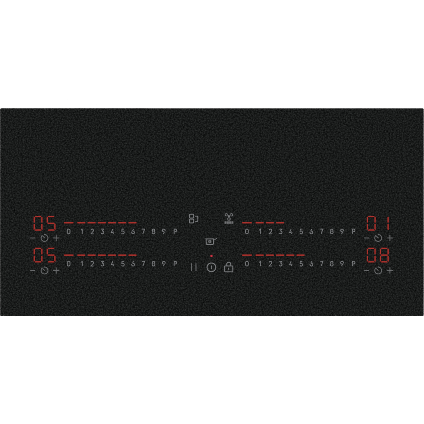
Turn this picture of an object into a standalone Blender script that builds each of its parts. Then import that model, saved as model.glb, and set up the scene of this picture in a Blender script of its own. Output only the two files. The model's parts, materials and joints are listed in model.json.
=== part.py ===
"""Built-in induction hob, landscape format, four cooking zones in a row behind a touch control field.

The frame: +X to the right, +Y to the rear, +Z up. The origin is the centre of the casing's base.
All lengths are in metres. Pieces that rest on each other keep GAP between them.
"""

import math

import bmesh
import bpy
from mathutils import Matrix, Vector

MM = 0.001
GAP = 0.3 * MM

# Driving dimensions.
GLASS_WIDTH = 800 * MM
GLASS_DEPTH = 393 * MM
GLASS_THICKNESS = 4 * MM
OVERALL_HEIGHT = 55 * MM
GLASS_CORNER_RADIUS = 2.5 * MM
GLASS_EDGE_BEVEL = 0.6 * MM

SHEET = 1.0 * MM
CASING_HALF_X = 381 * MM
CASING_HALF_Y = 176 * MM
CASING_HEIGHT = 47.5 * MM

GLASS_UNDERSIDE = OVERALL_HEIGHT - GLASS_THICKNESS
SEAL_INSET = 1.5 * MM
SEAL_WIDTH = 9 * MM
SEAL_THICKNESS = 2.5 * MM

# Cooking zones: four coil units in a row along the rear half.
ZONE_PITCH = 186 * MM
ZONE_Y = 81 * MM
ZONE_XS = [ZONE_PITCH * (i - 1.5) for i in range(4)]
WINDING_OUTER_R = 80 * MM
WINDING_INNER_R = 20 * MM
CARRIER_R = 82 * MM

# Levels of the coil stack, bottom to top.
SHELF_TOP = 30 * MM
FERRITE_BASE = 36.2 * MM
FERRITE_TOP = 41.4 * MM
CARRIER_TOP = 44.9 * MM
WINDING_TOP = 49.6 * MM

# Electronics: one power module on each side of the centre, in the front half.
TRAY_BASE = 2.8 * MM
TRAY_TOP = 4.6 * MM
BOARD_BASE = 8.3 * MM
BOARD_TOP = 9.9 * MM
FAN_X = 318 * MM
FAN_Y = -95 * MM
FAN_INLET_R = 34 * MM
FAN_HALF = 48 * MM
MOTOR_R = 12 * MM
BOARD_X = (22 * MM, 264 * MM)
BOARD_Y = (-166 * MM, -20 * MM)

# Control unit under the front of the glass.
CONTROL_X = 347 * MM
CONTROL_Y = (-124 * MM, -9 * MM)
CONTROL_BOARD_BASE = 43.6 * MM
CONTROL_BOARD_TOP = 45.2 * MM
CONTROL_CENTRE_X = -1.2 * MM
CONTROL_ROW_Y = (-20.5 * MM, -81.5 * MM)

# Mains terminal box in the middle of the rear wall.
TERMINAL_X = (-49.5 * MM, 81.5 * MM)
TERMINAL_Z = (3.5 * MM, 26.5 * MM)
LID_HALF_X = 46.8 * MM
LID_BARREL_R = 2.2 * MM
HINGE_Y = CASING_HALF_Y + 4.3 * MM
HINGE_Z = 4.2 * MM
TERMINAL_FACE_Y = CASING_HALF_Y + 1.8 * MM
GROMMET_X = 66 * MM
GROMMET_Z = 15 * MM

# Side springs that snap into the worktop cut-out.
SPRING_YS = (-105 * MM, 105 * MM)
SPRING_HALF_Y = 9 * MM
SPRING_PIVOT_X = CASING_HALF_X + 1.2 * MM
SPRING_PIVOT_Z = 10 * MM
SPRING_HEIGHT = 26 * MM
SPRING_LEAF = 0.8 * MM

SCREW_X = 300 * MM
SCREW_Z = 42.5 * MM
SCREW_HOLE_R = 2.1 * MM

SIDES = {"left": -1, "right": 1}

# name: (red, green, blue), roughness, metallic
FINISHES = {
    "black_glass": ((0.009, 0.010, 0.010), 0.08, 0.0),
    "foam_seal": ((0.035, 0.035, 0.037), 0.95, 0.0),
    "silicone": ((0.05, 0.05, 0.05), 0.6, 0.0),
    "zinc_steel": ((0.56, 0.57, 0.58), 0.42, 1.0),
    "spring_steel": ((0.62, 0.62, 0.63), 0.28, 1.0),
    "screw_steel": ((0.70, 0.70, 0.72), 0.25, 1.0),
    "aluminium": ((0.72, 0.73, 0.74), 0.38, 1.0),
    "black_plastic": ((0.02, 0.02, 0.022), 0.5, 0.0),
    "grey_plastic": ((0.30, 0.31, 0.32), 0.55, 0.0),
    "white_plastic": ((0.75, 0.75, 0.72), 0.5, 0.0),
    "circuit_board": ((0.02, 0.13, 0.06), 0.4, 0.0),
    "copper_litz": ((0.60, 0.27, 0.13), 0.45, 1.0),
    "mica": ((0.48, 0.42, 0.32), 0.5, 0.0),
    "sleeving": ((0.35, 0.05, 0.04), 0.6, 0.0),
    "rubber": ((0.025, 0.025, 0.025), 0.8, 0.0),
}


def clear_scene():
    for obj in list(bpy.data.objects):
        bpy.data.objects.remove(obj)


def new_collection(name, shown=True):
    made = bpy.data.collections.new(name)
    bpy.context.scene.collection.children.link(made)
    made.hide_render = not shown
    return made


def make_materials():
    made = {}
    for name, (colour, roughness, metallic) in FINISHES.items():
        material = bpy.data.materials.new(name)
        material.use_nodes = True
        shader = material.node_tree.nodes["Principled BSDF"]
        shader.inputs["Base Color"].default_value = (*colour, 1)
        shader.inputs["Roughness"].default_value = roughness
        shader.inputs["Metallic"].default_value = metallic
        made[name] = material
    return made


clear_scene()
PARTS = new_collection("induction_hob")
CUTTERS = new_collection("cutters", shown=False)
MATERIALS = make_materials()


# ---------------------------------------------------------------- building blocks


def place(name, data, slot):
    """A new object with its material. A part goes in PARTS; a slot of None makes a cutter."""
    obj = bpy.data.objects.new(name, data)
    if slot is None:
        CUTTERS.objects.link(obj)
        obj.hide_render = True
        obj.display_type = "WIRE"
        return obj
    PARTS.objects.link(obj)
    data.materials.append(MATERIALS[slot])
    return obj


def add_box(bm, x, y, z):
    """A box between the (low, high) pairs x, y and z. Returns its corner vertices."""
    low = Vector((x[0], y[0], z[0]))
    high = Vector((x[1], y[1], z[1]))
    matrix = Matrix.Translation((low + high) / 2) @ Matrix.Diagonal((*(high - low), 1))
    return bmesh.ops.create_cube(bm, size=1, matrix=matrix)["verts"]


def add_rod(bm, radius, start, end, sides=16):
    """A cylinder from the point start to the point end."""
    start, end = Vector(start), Vector(end)
    along = end - start
    matrix = Matrix.Translation((start + end) / 2) @ along.to_track_quat("Z", "Y").to_matrix().to_4x4()
    return bmesh.ops.create_cone(
        bm,
        cap_ends=True,
        segments=sides,
        radius1=radius,
        radius2=radius,
        depth=along.length,
        matrix=matrix,
    )["verts"]


def finish(name, bm, slot, smooth=False):
    mesh = bpy.data.meshes.new(name)
    bm.to_mesh(mesh)
    bm.free()
    if smooth:
        mesh.shade_smooth()
        mesh.set_sharp_from_angle(angle=math.radians(35))
    return place(name, mesh, slot)


def boxes(name, slot, spans):
    """One object of separate boxes, each given as its (x, y, z) pairs."""
    bm = bmesh.new()
    for x, y, z in spans:
        add_box(bm, x, y, z)
    return finish(name, bm, slot)


def rods(name, slot, ends, radius, sides=16):
    """One object of separate cylinders, each given as its start and end points."""
    bm = bmesh.new()
    for start, end in ends:
        add_rod(bm, radius, start, end, sides)
    return finish(name, bm, slot, smooth=True)


def boolean(obj, other, operation="DIFFERENCE"):
    modifier = obj.modifiers.new(other.name, "BOOLEAN")
    modifier.operation = operation
    modifier.solver = "EXACT"
    modifier.object = other
    return obj


def turned(name, slot, profile, centre, axis="Z", steps=32, closed=False):
    """A turned piece from (radius, height) points that run down its outer side, top to bottom."""
    mesh = bpy.data.meshes.new(name)
    points = [(r, 0, h) for r, h in profile]
    edges = [(i, i + 1) for i in range(len(points) - 1)]
    if closed:
        edges.append((len(points) - 1, 0))
    mesh.from_pydata(points, edges, [])
    obj = place(name, mesh, slot)
    obj.location = centre
    if axis == "Y":
        obj.rotation_euler = (-math.pi / 2, 0, 0)
    screw = obj.modifiers.new("turn", "SCREW")
    screw.axis = "Z"
    screw.steps = steps
    screw.render_steps = steps
    screw.use_merge_vertices = True
    screw.merge_threshold = 0.00001
    screw.use_smooth_shade = False
    return obj


def outline(name, slot, rings, thickness, matrix):
    """A flat plate from closed rings of (u, v) points, the first one its rim, as a welded mesh.

    The plate lies in its own XY plane, centred on it, and matrix places it.
    """
    curve = bpy.data.curves.new(name, "CURVE")
    curve.dimensions = "2D"
    curve.fill_mode = "BOTH"
    curve.extrude = thickness / 2
    for ring in rings:
        spline = curve.splines.new("POLY")
        spline.points.add(len(ring) - 1)
        for point, (u, v) in zip(spline.points, ring):
            point.co = (u, v, 0, 1)
        spline.use_cyclic_u = True
    guide = bpy.data.objects.new(name + "_guide", curve)
    bpy.context.scene.collection.objects.link(guide)
    bpy.context.view_layer.update()
    graph = bpy.context.evaluated_depsgraph_get()
    mesh = bpy.data.meshes.new_from_object(guide.evaluated_get(graph))
    mesh.name = name
    bpy.data.objects.remove(guide)
    bm = bmesh.new()
    bm.from_mesh(mesh)
    bmesh.ops.remove_doubles(bm, verts=bm.verts, dist=0.00001)
    bmesh.ops.recalc_face_normals(bm, faces=bm.faces)
    bm.transform(matrix)
    bm.to_mesh(mesh)
    bm.free()
    mesh.materials.clear()
    return place(name, mesh, slot)


def circle(radius, sides, centre=(0, 0)):
    steps = [2 * math.pi * i / sides for i in range(sides)]
    return [(centre[0] + radius * math.cos(a), centre[1] + radius * math.sin(a)) for a in steps]


def rectangle(u, v):
    return [(u[0], v[0]), (u[1], v[0]), (u[1], v[1]), (u[0], v[1])]


def slot_ring(centre, half_length, half_width):
    """A slot along U with three-sided round ends."""
    cu, cv = centre
    straight = half_length - half_width
    ring = []
    for end in (1, -1):
        for step in (-90, -30, 30, 90):
            a = math.radians(step) + (0 if end > 0 else math.pi)
            ring.append((cu + end * straight + half_width * math.cos(a), cv + half_width * math.sin(a)))
    return ring


def prisms(name, rings, z):
    """One cutter of separate upright prisms over the rings, from z[0] to z[1]."""
    bm = bmesh.new()
    for ring in rings:
        face = bm.faces.new([bm.verts.new((u, v, z[0])) for u, v in ring])
        top = bmesh.ops.extrude_face_region(bm, geom=[face])["geom"]
        raised = [v for v in top if isinstance(v, bmesh.types.BMVert)]
        bmesh.ops.translate(bm, verts=raised, vec=(0, 0, z[1] - z[0]))
    bmesh.ops.recalc_face_normals(bm, faces=bm.faces)
    return finish(name, bm, None)


def tube(name, slot, route, radius, closed=False):
    """A round wire through the route's points."""
    curve = bpy.data.curves.new(name, "CURVE")
    curve.dimensions = "3D"
    curve.bevel_depth = radius
    curve.bevel_resolution = 1
    curve.use_fill_caps = not closed
    spline = curve.splines.new("POLY")
    spline.points.add(len(route) - 1)
    for point, place_at in zip(spline.points, route):
        point.co = (*place_at, 1)
    spline.use_cyclic_u = closed
    return place(name, curve, slot)


def extrusion(section, y):
    """A closed bar along Y over (x, z) section points, as a bmesh."""
    bm = bmesh.new()
    face = bm.faces.new([bm.verts.new((u, y[0], z)) for u, z in section])
    made = bmesh.ops.extrude_face_region(bm, geom=[face])["geom"]
    far = [v for v in made if isinstance(v, bmesh.types.BMVert)]
    bmesh.ops.translate(bm, verts=far, vec=(0, y[1] - y[0], 0))
    bmesh.ops.recalc_face_normals(bm, faces=bm.faces)
    return bm


def mirrored(span, side):
    """A (low, high) pair of the right-hand side, for either side of the hob."""
    return span if side > 0 else (-span[1], -span[0])


# ---------------------------------------------------------------- glass and what is bonded to it


def glass_plate():
    half_x, half_y = GLASS_WIDTH / 2, GLASS_DEPTH / 2
    bm = bmesh.new()
    add_box(bm, (-half_x, half_x), (-half_y, half_y), (GLASS_UNDERSIDE, OVERALL_HEIGHT))
    upright = [e for e in bm.edges if abs(e.verts[0].co.z - e.verts[1].co.z) > GLASS_THICKNESS / 2]
    bmesh.ops.bevel(bm, geom=upright, offset=GLASS_CORNER_RADIUS, segments=4, affect="EDGES", profile=0.5)
    level = [e for e in bm.edges if abs(e.verts[0].co.z - e.verts[1].co.z) < GLASS_THICKNESS / 2]
    bmesh.ops.bevel(bm, geom=level, offset=GLASS_EDGE_BEVEL, segments=2, affect="EDGES", profile=0.5)
    finish("glass_plate", bm, "black_glass", smooth=True)


def strips(half_x, half_y, width):
    """The (x, y) pairs of four strips inside the edge of a rectangle, by side."""
    inner_y = half_y - width - GAP
    return {
        "front": ((-half_x, half_x), (-half_y, -half_y + width)),
        "rear": ((-half_x, half_x), (half_y - width, half_y)),
        "left": ((-half_x, -half_x + width), (-inner_y, inner_y)),
        "right": ((half_x - width, half_x), (-inner_y, inner_y)),
    }


def seal_tape():
    """Foam tape under the rim of the glass, which seals it to the worktop."""
    top = GLASS_UNDERSIDE - GAP
    layout = strips(GLASS_WIDTH / 2 - SEAL_INSET, GLASS_DEPTH / 2 - SEAL_INSET, SEAL_WIDTH)
    for label, (x, y) in layout.items():
        boxes(f"seal_{label}", "foam_seal", [(x, y, (top - SEAL_THICKNESS, top))])


RAIL_SKIRT_OUT = 1.4 * MM
RAIL_FLANGE = 12 * MM
RAIL_TOP = 49.7 * MM
RAIL_BASE = 36.5 * MM
RAIL_END_SETBACK = 14 * MM


def silicone_bond():
    """The ring of silicone that bonds the rails to the glass."""
    low, high = RAIL_TOP + 0.2 * MM, GLASS_UNDERSIDE - 0.2 * MM
    half_x, half_y = CASING_HALF_X - MM, CASING_HALF_Y - MM
    width = RAIL_FLANGE - 2 * MM
    rings = []
    for inset in (0, width):
        hx, hy = half_x - inset, half_y - inset
        rings.append(rectangle((-hx, hx), (-hy, hy)))
    middle = Matrix.Translation((0, 0, (low + high) / 2))
    outline("silicone_bond", "silicone", rings, high - low, middle)


def screw_points():
    """(point on the casing's wall, outward direction) of each casing screw, by name."""
    points = {}
    for end, side_y in (("front", -1), ("rear", 1)):
        for label, side in SIDES.items():
            point = Vector((side * SCREW_X, side_y * CASING_HALF_Y, SCREW_Z))
            points[f"{end}_{label}"] = (point, Vector((0, side_y, 0)))
    return points


def screw_holes():
    depth = 6 * MM
    ends = [(point - out * depth, point + out * depth) for point, out in screw_points().values()]
    return rods("screw_holes", None, ends, SCREW_HOLE_R, sides=12)


def glass_rails(holes):
    """Four folded L-section rails: a flange bonded under the glass, and a skirt outside the casing."""
    section = [
        (RAIL_SKIRT_OUT, RAIL_BASE),
        (RAIL_SKIRT_OUT, RAIL_TOP),
        (-RAIL_FLANGE, RAIL_TOP),
        (-RAIL_FLANGE, RAIL_TOP - SHEET),
        (RAIL_SKIRT_OUT - SHEET, RAIL_TOP - SHEET),
        (RAIL_SKIRT_OUT - SHEET, RAIL_BASE),
    ]
    sides = {
        "right": (0, CASING_HALF_X, CASING_HALF_Y),
        "rear": (90, CASING_HALF_Y, CASING_HALF_X),
        "left": (180, CASING_HALF_X, CASING_HALF_Y),
        "front": (270, CASING_HALF_Y, CASING_HALF_X),
    }
    for label, (turn, distance, reach) in sides.items():
        half_length = reach - RAIL_END_SETBACK
        rail = extrusion(section, (-half_length, half_length))
        bmesh.ops.translate(rail, verts=rail.verts, vec=(distance, 0, 0))
        bmesh.ops.rotate(rail, verts=rail.verts, matrix=Matrix.Rotation(math.radians(turn), 3, "Z"))
        boolean(finish(f"rail_{label}", rail, "zinc_steel"), holes)


def casing_screws():
    """Pan-head screws through the rails and the casing's wall, front and rear."""
    head_r, head_height, shank_r, shank_length = 3.4 * MM, 2 * MM, 1.75 * MM, 7 * MM
    for label, (point, out) in screw_points().items():
        seat = point + out * (RAIL_SKIRT_OUT + GAP)
        bm = bmesh.new()
        add_rod(bm, head_r, seat, seat + out * head_height, 14)
        face = [f for f in bm.faces if f.normal.dot(out) > 0.9]
        bmesh.ops.inset_region(bm, faces=face, thickness=0.8 * MM, depth=0.5 * MM)
        screw = finish(f"casing_screw_{label}", bm, "screw_steel", smooth=True)
        shank = [(seat + out * MM, seat - out * shank_length)]
        boolean(screw, rods(f"shank_{label}", None, shank, shank_r, sides=10), "UNION")


# ---------------------------------------------------------------- casing

RIB_DEPTH = 1.5 * MM
SLOT_WIDTH = 4 * MM
FLOOR_INLET_R = FAN_INLET_R + 3 * MM
WALL_SLOT_PITCH = 10 * MM
REAR_SLOT_PITCH = 14 * MM
COIL_SLOT_PITCH = 34 * MM
FIRST_SIDE_SLOT_X = 130 * MM
FOLD_RADIUS = 1.6 * MM


def rib_spans():
    """(x, y) pairs of the channels pressed into the floor; the last is a recess for a rating label."""
    half_width = 6 * MM
    spans = []
    for side in SIDES.values():
        for y in (-140 * MM, -95 * MM, -50 * MM):
            spans.append((mirrored((80 * MM, 245 * MM), side), (y - half_width, y + half_width)))
        spans.append((mirrored((40 * MM, 345 * MM), side), (30 * MM - half_width, 30 * MM + half_width)))
    spans.append(((-55 * MM, 55 * MM), (-125 * MM, -65 * MM)))
    return spans


def floor_slots():
    """Fan inlets, with slots clipped to a circle, and air slots under the coils."""
    rings = []
    for side in SIDES.values():
        for row in range(-4, 5):
            offset = row * 2 * SLOT_WIDTH
            half = math.sqrt(FLOOR_INLET_R**2 - offset**2)
            rings.append(slot_ring((side * FAN_X, FAN_Y + offset), half, SLOT_WIDTH / 2))
        for column in range(7):
            for y in (68 * MM, 112 * MM):
                centre = (side * (FIRST_SIDE_SLOT_X + COIL_SLOT_PITCH * column), y)
                rings.append(slot_ring(centre, 13 * MM, SLOT_WIDTH / 2))
    return rings


def upright_slots(centres, axis, z=(10 * MM, 30 * MM)):
    """(x, y, z) pairs of upright air slots through a wall that runs along the X or the Y axis."""
    half, through = 1.6 * MM, 4 * MM
    spans = []
    for x, y in centres:
        half_x, half_y = (half, through) if axis == "X" else (through, half)
        spans.append(((x - half_x, x + half_x), (y - half_y, y + half_y), z))
    return spans


def pan_slots():
    """Air slots in the front wall's middle and on both sides of the rear wall."""
    front = [(i * WALL_SLOT_PITCH, -CASING_HALF_Y) for i in range(-8, 9)]
    rear_xs = [FIRST_SIDE_SLOT_X + i * REAR_SLOT_PITCH for i in range(14)]
    rear = [(side * x, CASING_HALF_Y) for side in SIDES.values() for x in rear_xs]
    return upright_slots(front + rear, "X")


def end_slots(side):
    """Air slots between the two spring windows of an end sheet."""
    centres = [(side * CASING_HALF_X, i * WALL_SLOT_PITCH) for i in range(-6, 7)]
    return upright_slots(centres, "Y")


def spring_windows(side):
    """Windows in an end sheet that the springs fold into."""
    reach, margin = 2 * MM, SPRING_HALF_Y + 2 * MM
    x = mirrored((CASING_HALF_X - reach, CASING_HALF_X + reach), side)
    z = (SPRING_PIVOT_Z + 3 * MM, SPRING_PIVOT_Z + SPRING_HEIGHT + 0.4 * MM)
    return [(x, (y - margin, y + margin), z) for y in SPRING_YS]


def casing_pan(holes):
    """The floor with its front and rear walls folded up, pressed channels, air slots and screw holes."""
    bm = bmesh.new()
    half_x = CASING_HALF_X - SHEET - GAP
    add_box(bm, (-half_x, half_x), (-CASING_HALF_Y, CASING_HALF_Y), (0, CASING_HEIGHT))
    open_sides = [f for f in bm.faces if f.normal.z > 0.9 or abs(f.normal.x) > 0.9]
    bmesh.ops.delete(bm, geom=open_sides, context="FACES")
    folds = [e for e in bm.edges if len(e.link_faces) == 2]
    bmesh.ops.bevel(bm, geom=folds, offset=FOLD_RADIUS, segments=3, affect="EDGES", profile=0.5)
    pan = finish("casing_pan", bm, "zinc_steel")
    sheet = pan.modifiers.new("sheet", "SOLIDIFY")
    sheet.thickness = SHEET
    sheet.offset = -1
    sheet.use_even_offset = True
    raised = [(x, y, (SHEET / 2, SHEET + RIB_DEPTH)) for x, y in rib_spans()]
    boolean(pan, boxes("rib_backs", None, raised), "UNION")
    channels = []
    for x, y in rib_spans():
        channels.append(((x[0] + SHEET, x[1] - SHEET), (y[0] + SHEET, y[1] - SHEET), (-MM, RIB_DEPTH)))
    boolean(pan, boxes("rib_channels", None, channels))
    boolean(pan, prisms("floor_slots", floor_slots(), (-MM, 2 * SHEET)))
    boolean(pan, boxes("pan_slots", None, pan_slots()))
    fit = 0.5 * MM
    opening = (
        (TERMINAL_X[0] - fit, TERMINAL_X[1] + fit),
        (CASING_HALF_Y - 4 * MM, CASING_HALF_Y + 4 * MM),
        (TERMINAL_Z[0] - fit, TERMINAL_Z[1] + fit),
    )
    boolean(pan, boxes("terminal_opening", None, [opening]))
    boolean(pan, holes)


def casing_end(label, side):
    """An end sheet, welded across the pan, with air slots, spring windows and the springs' feet."""
    bm = bmesh.new()
    x = mirrored((CASING_HALF_X - SHEET, CASING_HALF_X), side)
    add_box(bm, x, (-CASING_HALF_Y, CASING_HALF_Y), (0, CASING_HEIGHT))
    across = [e for e in bm.edges if abs(e.verts[0].co.x - e.verts[1].co.x) > SHEET / 2]
    low = [e for e in across if e.verts[0].co.z < SHEET]
    bmesh.ops.bevel(bm, geom=low, offset=FOLD_RADIUS, segments=3, affect="EDGES", profile=0.5)
    end = finish(f"casing_end_{label}", bm, "zinc_steel")
    tabs, rivets = spring_tabs(label, side)
    boolean(end, tabs, "UNION")
    boolean(end, rivets, "UNION")
    boolean(end, boxes(f"end_slots_{label}", None, end_slots(side) + spring_windows(side)))


# ---------------------------------------------------------------- coil units


def coil_units():
    for number, x in enumerate(ZONE_XS, start=1):
        coil_unit(number, x)


def coil_unit(number, x):
    """Winding, carrier with its ferrite bars, wave spring and temperature sensor of one cooking zone."""
    turned(
        f"coil_winding_{number}",
        "copper_litz",
        [
            (WINDING_INNER_R, WINDING_TOP),
            (WINDING_OUTER_R, WINDING_TOP),
            (WINDING_OUTER_R, CARRIER_TOP + GAP),
            (WINDING_INNER_R, CARRIER_TOP + GAP),
        ],
        (x, ZONE_Y, 0),
        steps=40,
        closed=True,
    )
    coil_carrier(number, x)
    wave_spring(number, x)
    sensor = [((x, ZONE_Y, SHELF_TOP + GAP), (x, ZONE_Y, GLASS_UNDERSIDE - GAP))]
    rods(f"temperature_sensor_{number}", "white_plastic", sensor, 5.5 * MM, sides=12)


def coil_carrier(number, x):
    """A plastic disc with four windows, and eight ferrite bars bonded into its underside."""
    thickness = CARRIER_TOP - FERRITE_TOP
    windows = []
    for i in range(4):
        a = math.radians(45 + 90 * i)
        windows.append(circle(13 * MM, 8, (52 * MM * math.cos(a), 52 * MM * math.sin(a))))
    rings = [circle(CARRIER_R, 40), circle(12 * MM, 12), *windows]
    place_at = Matrix.Translation((x, ZONE_Y, CARRIER_TOP - thickness / 2))
    carrier = outline(f"coil_carrier_{number}", "black_plastic", rings, thickness, place_at)
    bars = bmesh.new()
    for i in range(8):
        z = (FERRITE_BASE, FERRITE_TOP + thickness / 4)
        corners = add_box(bars, (25 * MM, 76 * MM), (-4 * MM, 4 * MM), z)
        turn = Matrix.Rotation(math.radians(45 * i + 22.5), 3, "Z")
        bmesh.ops.rotate(bars, verts=corners, matrix=turn)
    bmesh.ops.translate(bars, verts=bars.verts, vec=(x, ZONE_Y, 0))
    boolean(carrier, finish(f"ferrite_bars_{number}", bars, None), "UNION")


def wave_spring(number, x):
    """A ring of spring wire in four waves, between the shelf and the ferrite bars."""
    wire_r, ring_r, waves, steps = 0.6 * MM, 50 * MM, 4, 32
    low, high = SHELF_TOP + GAP + wire_r, FERRITE_BASE - GAP - wire_r
    middle, swing = (low + high) / 2, (high - low) / 2
    route = []
    for i in range(steps):
        a = 2 * math.pi * i / steps
        height = middle + swing * math.cos(waves * (a - math.radians(22.5)))
        route.append((x + ring_r * math.cos(a), ZONE_Y + ring_r * math.sin(a), height))
    tube(f"coil_spring_{number}", "spring_steel", route, wire_r, closed=True)


def mica_sheet():
    """The insulating sheet over the four windings, with a hole for each sensor."""
    low, high = WINDING_TOP + GAP, GLASS_UNDERSIDE - GAP
    half_x, half_y = ZONE_XS[-1] + CARRIER_R, CARRIER_R
    holes = [circle(9 * MM, 12, (x, ZONE_Y)) for x in ZONE_XS]
    rim = rectangle((-half_x, half_x), (ZONE_Y - half_y, ZONE_Y + half_y))
    middle = Matrix.Translation((0, 0, (low + high) / 2))
    outline("mica_sheet", "mica", [rim, *holes], high - low, middle)


def coil_shelf():
    """The aluminium plate that carries the coils, with legs folded down at its front and rear."""
    half_x = 366 * MM
    front, rear = -1 * MM, 163 * MM
    base = RIB_DEPTH + SHEET + GAP
    spans = [
        ((-half_x, half_x), (front, rear), (SHELF_TOP - SHEET, SHELF_TOP)),
        ((-half_x, -100 * MM), (rear - SHEET, rear), (base, SHELF_TOP - SHEET / 2)),
        ((110 * MM, half_x), (rear - SHEET, rear), (base, SHELF_TOP - SHEET / 2)),
        ((-half_x, half_x), (front, front + SHEET), (base, SHELF_TOP - SHEET / 2)),
    ]
    shelf = boxes("coil_shelf", "aluminium", spans[:1])
    boolean(shelf, boxes("shelf_legs", None, spans[1:]), "UNION")
    windows = []
    for x in ZONE_XS:
        windows.append(((x - 30 * MM, x + 30 * MM), (front - MM, front + 2 * MM), (12 * MM, 24 * MM)))
        for side in SIDES.values():
            middle = x + side * 42 * MM
            span = (middle - 14 * MM, middle + 14 * MM)
            windows.append((span, (66 * MM, 96 * MM), (SHELF_TOP - 3 * MM, SHELF_TOP + MM)))
    boolean(shelf, boxes("shelf_windows", None, windows))


# ---------------------------------------------------------------- power electronics and cooling


def electronics_tray():
    """The plastic tray under the boards and fans, with stand-offs and two fan inlets."""
    half_x = 374 * MM
    place_at = Matrix.Translation((0, 0, (TRAY_BASE + TRAY_TOP) / 2))
    rim = rectangle((-half_x, half_x), (-172 * MM, -8 * MM))
    inlets = [circle(FAN_INLET_R + MM, 24, (side * FAN_X, FAN_Y)) for side in SIDES.values()]
    tray = outline("electronics_tray", "grey_plastic", [rim, *inlets], TRAY_TOP - TRAY_BASE, place_at)
    posts = []
    for side in SIDES.values():
        for x in (BOARD_X[0] + 6 * MM, BOARD_X[1] - 6 * MM):
            for y in (BOARD_Y[0] + 6 * MM, BOARD_Y[1] - 6 * MM):
                posts.append(((side * x, y, TRAY_BASE + MM), (side * x, y, BOARD_BASE - GAP)))
    boolean(tray, rods("stand_offs", None, posts, 3.5 * MM, sides=8), "UNION")


HOUSING_WALL = 1.6 * MM


def fan_housing(label, side):
    """A blower's scroll with its outlet towards the heatsink, closed on top."""
    x, y, half = side * FAN_X, FAN_Y, FAN_HALF
    low, high = 6.7 * MM, 34 * MM
    wall = HOUSING_WALL
    bm = bmesh.new()
    add_box(bm, (x - half, x + half), (y - half, y + half), (low, high))
    upright = [e for e in bm.edges if abs(e.verts[0].co.z - e.verts[1].co.z) > 10 * MM]
    bmesh.ops.bevel(bm, geom=upright, offset=14 * MM, segments=3, affect="EDGES", profile=0.5)
    housing = finish(f"fan_housing_{label}", bm, "black_plastic")
    boolean(housing, air_duct(label, side), "UNION")
    cavity = rods(
        f"fan_cavity_{label}",
        None,
        [((x, y, low - MM), (x, y, high - wall))],
        half - wall,
        sides=32,
    )
    boolean(housing, cavity)
    outlet = mirrored((FAN_X - half - MM, FAN_X - 10 * MM), side)
    channel = (outlet, (y - 24 * MM, y + 24 * MM), (low + wall, high - wall - 0.2 * MM))
    boolean(housing, boxes(f"fan_outlet_{label}", None, [channel]))


def fan_base(label, side):
    """The blower's base: an inlet ring with four arms that carry the motor."""
    x, y, half = side * FAN_X, FAN_Y, FAN_HALF
    low, high = TRAY_TOP + GAP, 6.4 * MM
    place_at = Matrix.Translation((x, y, (low + high) / 2))
    quarter = []
    arm = math.radians(7)
    for i in range(4):
        start, end = math.radians(90 * i) + arm, math.radians(90 * (i + 1)) - arm
        angles = [start + (end - start) * k / 5 for k in range(6)]
        outer = [(FAN_INLET_R * math.cos(a), FAN_INLET_R * math.sin(a)) for a in angles]
        inner_r = MOTOR_R + 1.5 * MM
        returning = [angles[-1], *angles[-2::-2]]
        inner = [(inner_r * math.cos(a), inner_r * math.sin(a)) for a in returning]
        quarter.append(outer + inner)
    corner = 12 * MM
    rim = []
    for i in range(4):
        a = math.radians(45 + 90 * i)
        cu = math.copysign(half - corner, math.cos(a))
        cv = math.copysign(half - corner, math.sin(a))
        for step in (-45, -15, 15, 45):
            b = a + math.radians(step)
            rim.append((cu + corner * math.cos(b), cv + corner * math.sin(b)))
    inlet = outline(f"fan_base_{label}", "black_plastic", [rim, *quarter], high - low, place_at)
    can = [((x, y, low + MM / 2), (x, y, 26.5 * MM))]
    motor = rods(f"motor_can_{label}", None, can, MOTOR_R, sides=20)
    boolean(inlet, motor, "UNION")


def fan_rotor(label, side):
    """A radial impeller: a back disc and hub cup over the motor, with a ring of curved blades."""
    x, y = side * FAN_X, FAN_Y
    disc_r, disc_top, disc_base = 40 * MM, 30 * MM, 28.6 * MM
    cup_r, cup_bore, cup_base = MOTOR_R + 3 * MM, MOTOR_R + 1.4 * MM, 9 * MM
    rotor = turned(
        f"fan_rotor_{label}",
        "black_plastic",
        [
            (0, disc_top),
            (disc_r, disc_top),
            (disc_r, disc_base),
            (cup_r, disc_base),
            (cup_r, cup_base),
            (cup_bore, cup_base),
            (cup_bore, disc_base - 0.6 * MM),
            (0, disc_base - 0.6 * MM),
        ],
        (x, y, 0),
        steps=32,
    )
    bm = bmesh.new()
    count, blade_x, blade_y = 24, (30 * MM, 39 * MM), (-0.45 * MM, 0.45 * MM)
    lean = Matrix.Rotation(math.radians(-32), 3, "Z")
    for i in range(count):
        blade = add_box(bm, blade_x, blade_y, (cup_base, disc_base + 0.5 * MM))
        bmesh.ops.rotate(bm, verts=blade, cent=(sum(blade_x) / 2, 0, 0), matrix=lean)
        bmesh.ops.rotate(bm, verts=blade, matrix=Matrix.Rotation(2 * math.pi * i / count, 3, "Z"))
    blades = finish(f"fan_blades_{label}", bm, None)
    blades.location = (x, y, 0)
    boolean(rotor, blades, "UNION")


HEATSINK_X = (92 * MM, 256 * MM)
HEATSINK_HALF_Y = 24.5 * MM
HEATSINK_Z = (15.3 * MM, 37 * MM)


def extruded_along_x(name, slot, section, x):
    """A bar along X from (y, z) section points."""
    length = x[1] - x[0]
    turn = Matrix(((0, 0, 1, (x[0] + x[1]) / 2), (1, 0, 0, 0), (0, 1, 0, 0), (0, 0, 0, 1)))
    return outline(name, slot, [section], length, turn)


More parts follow.
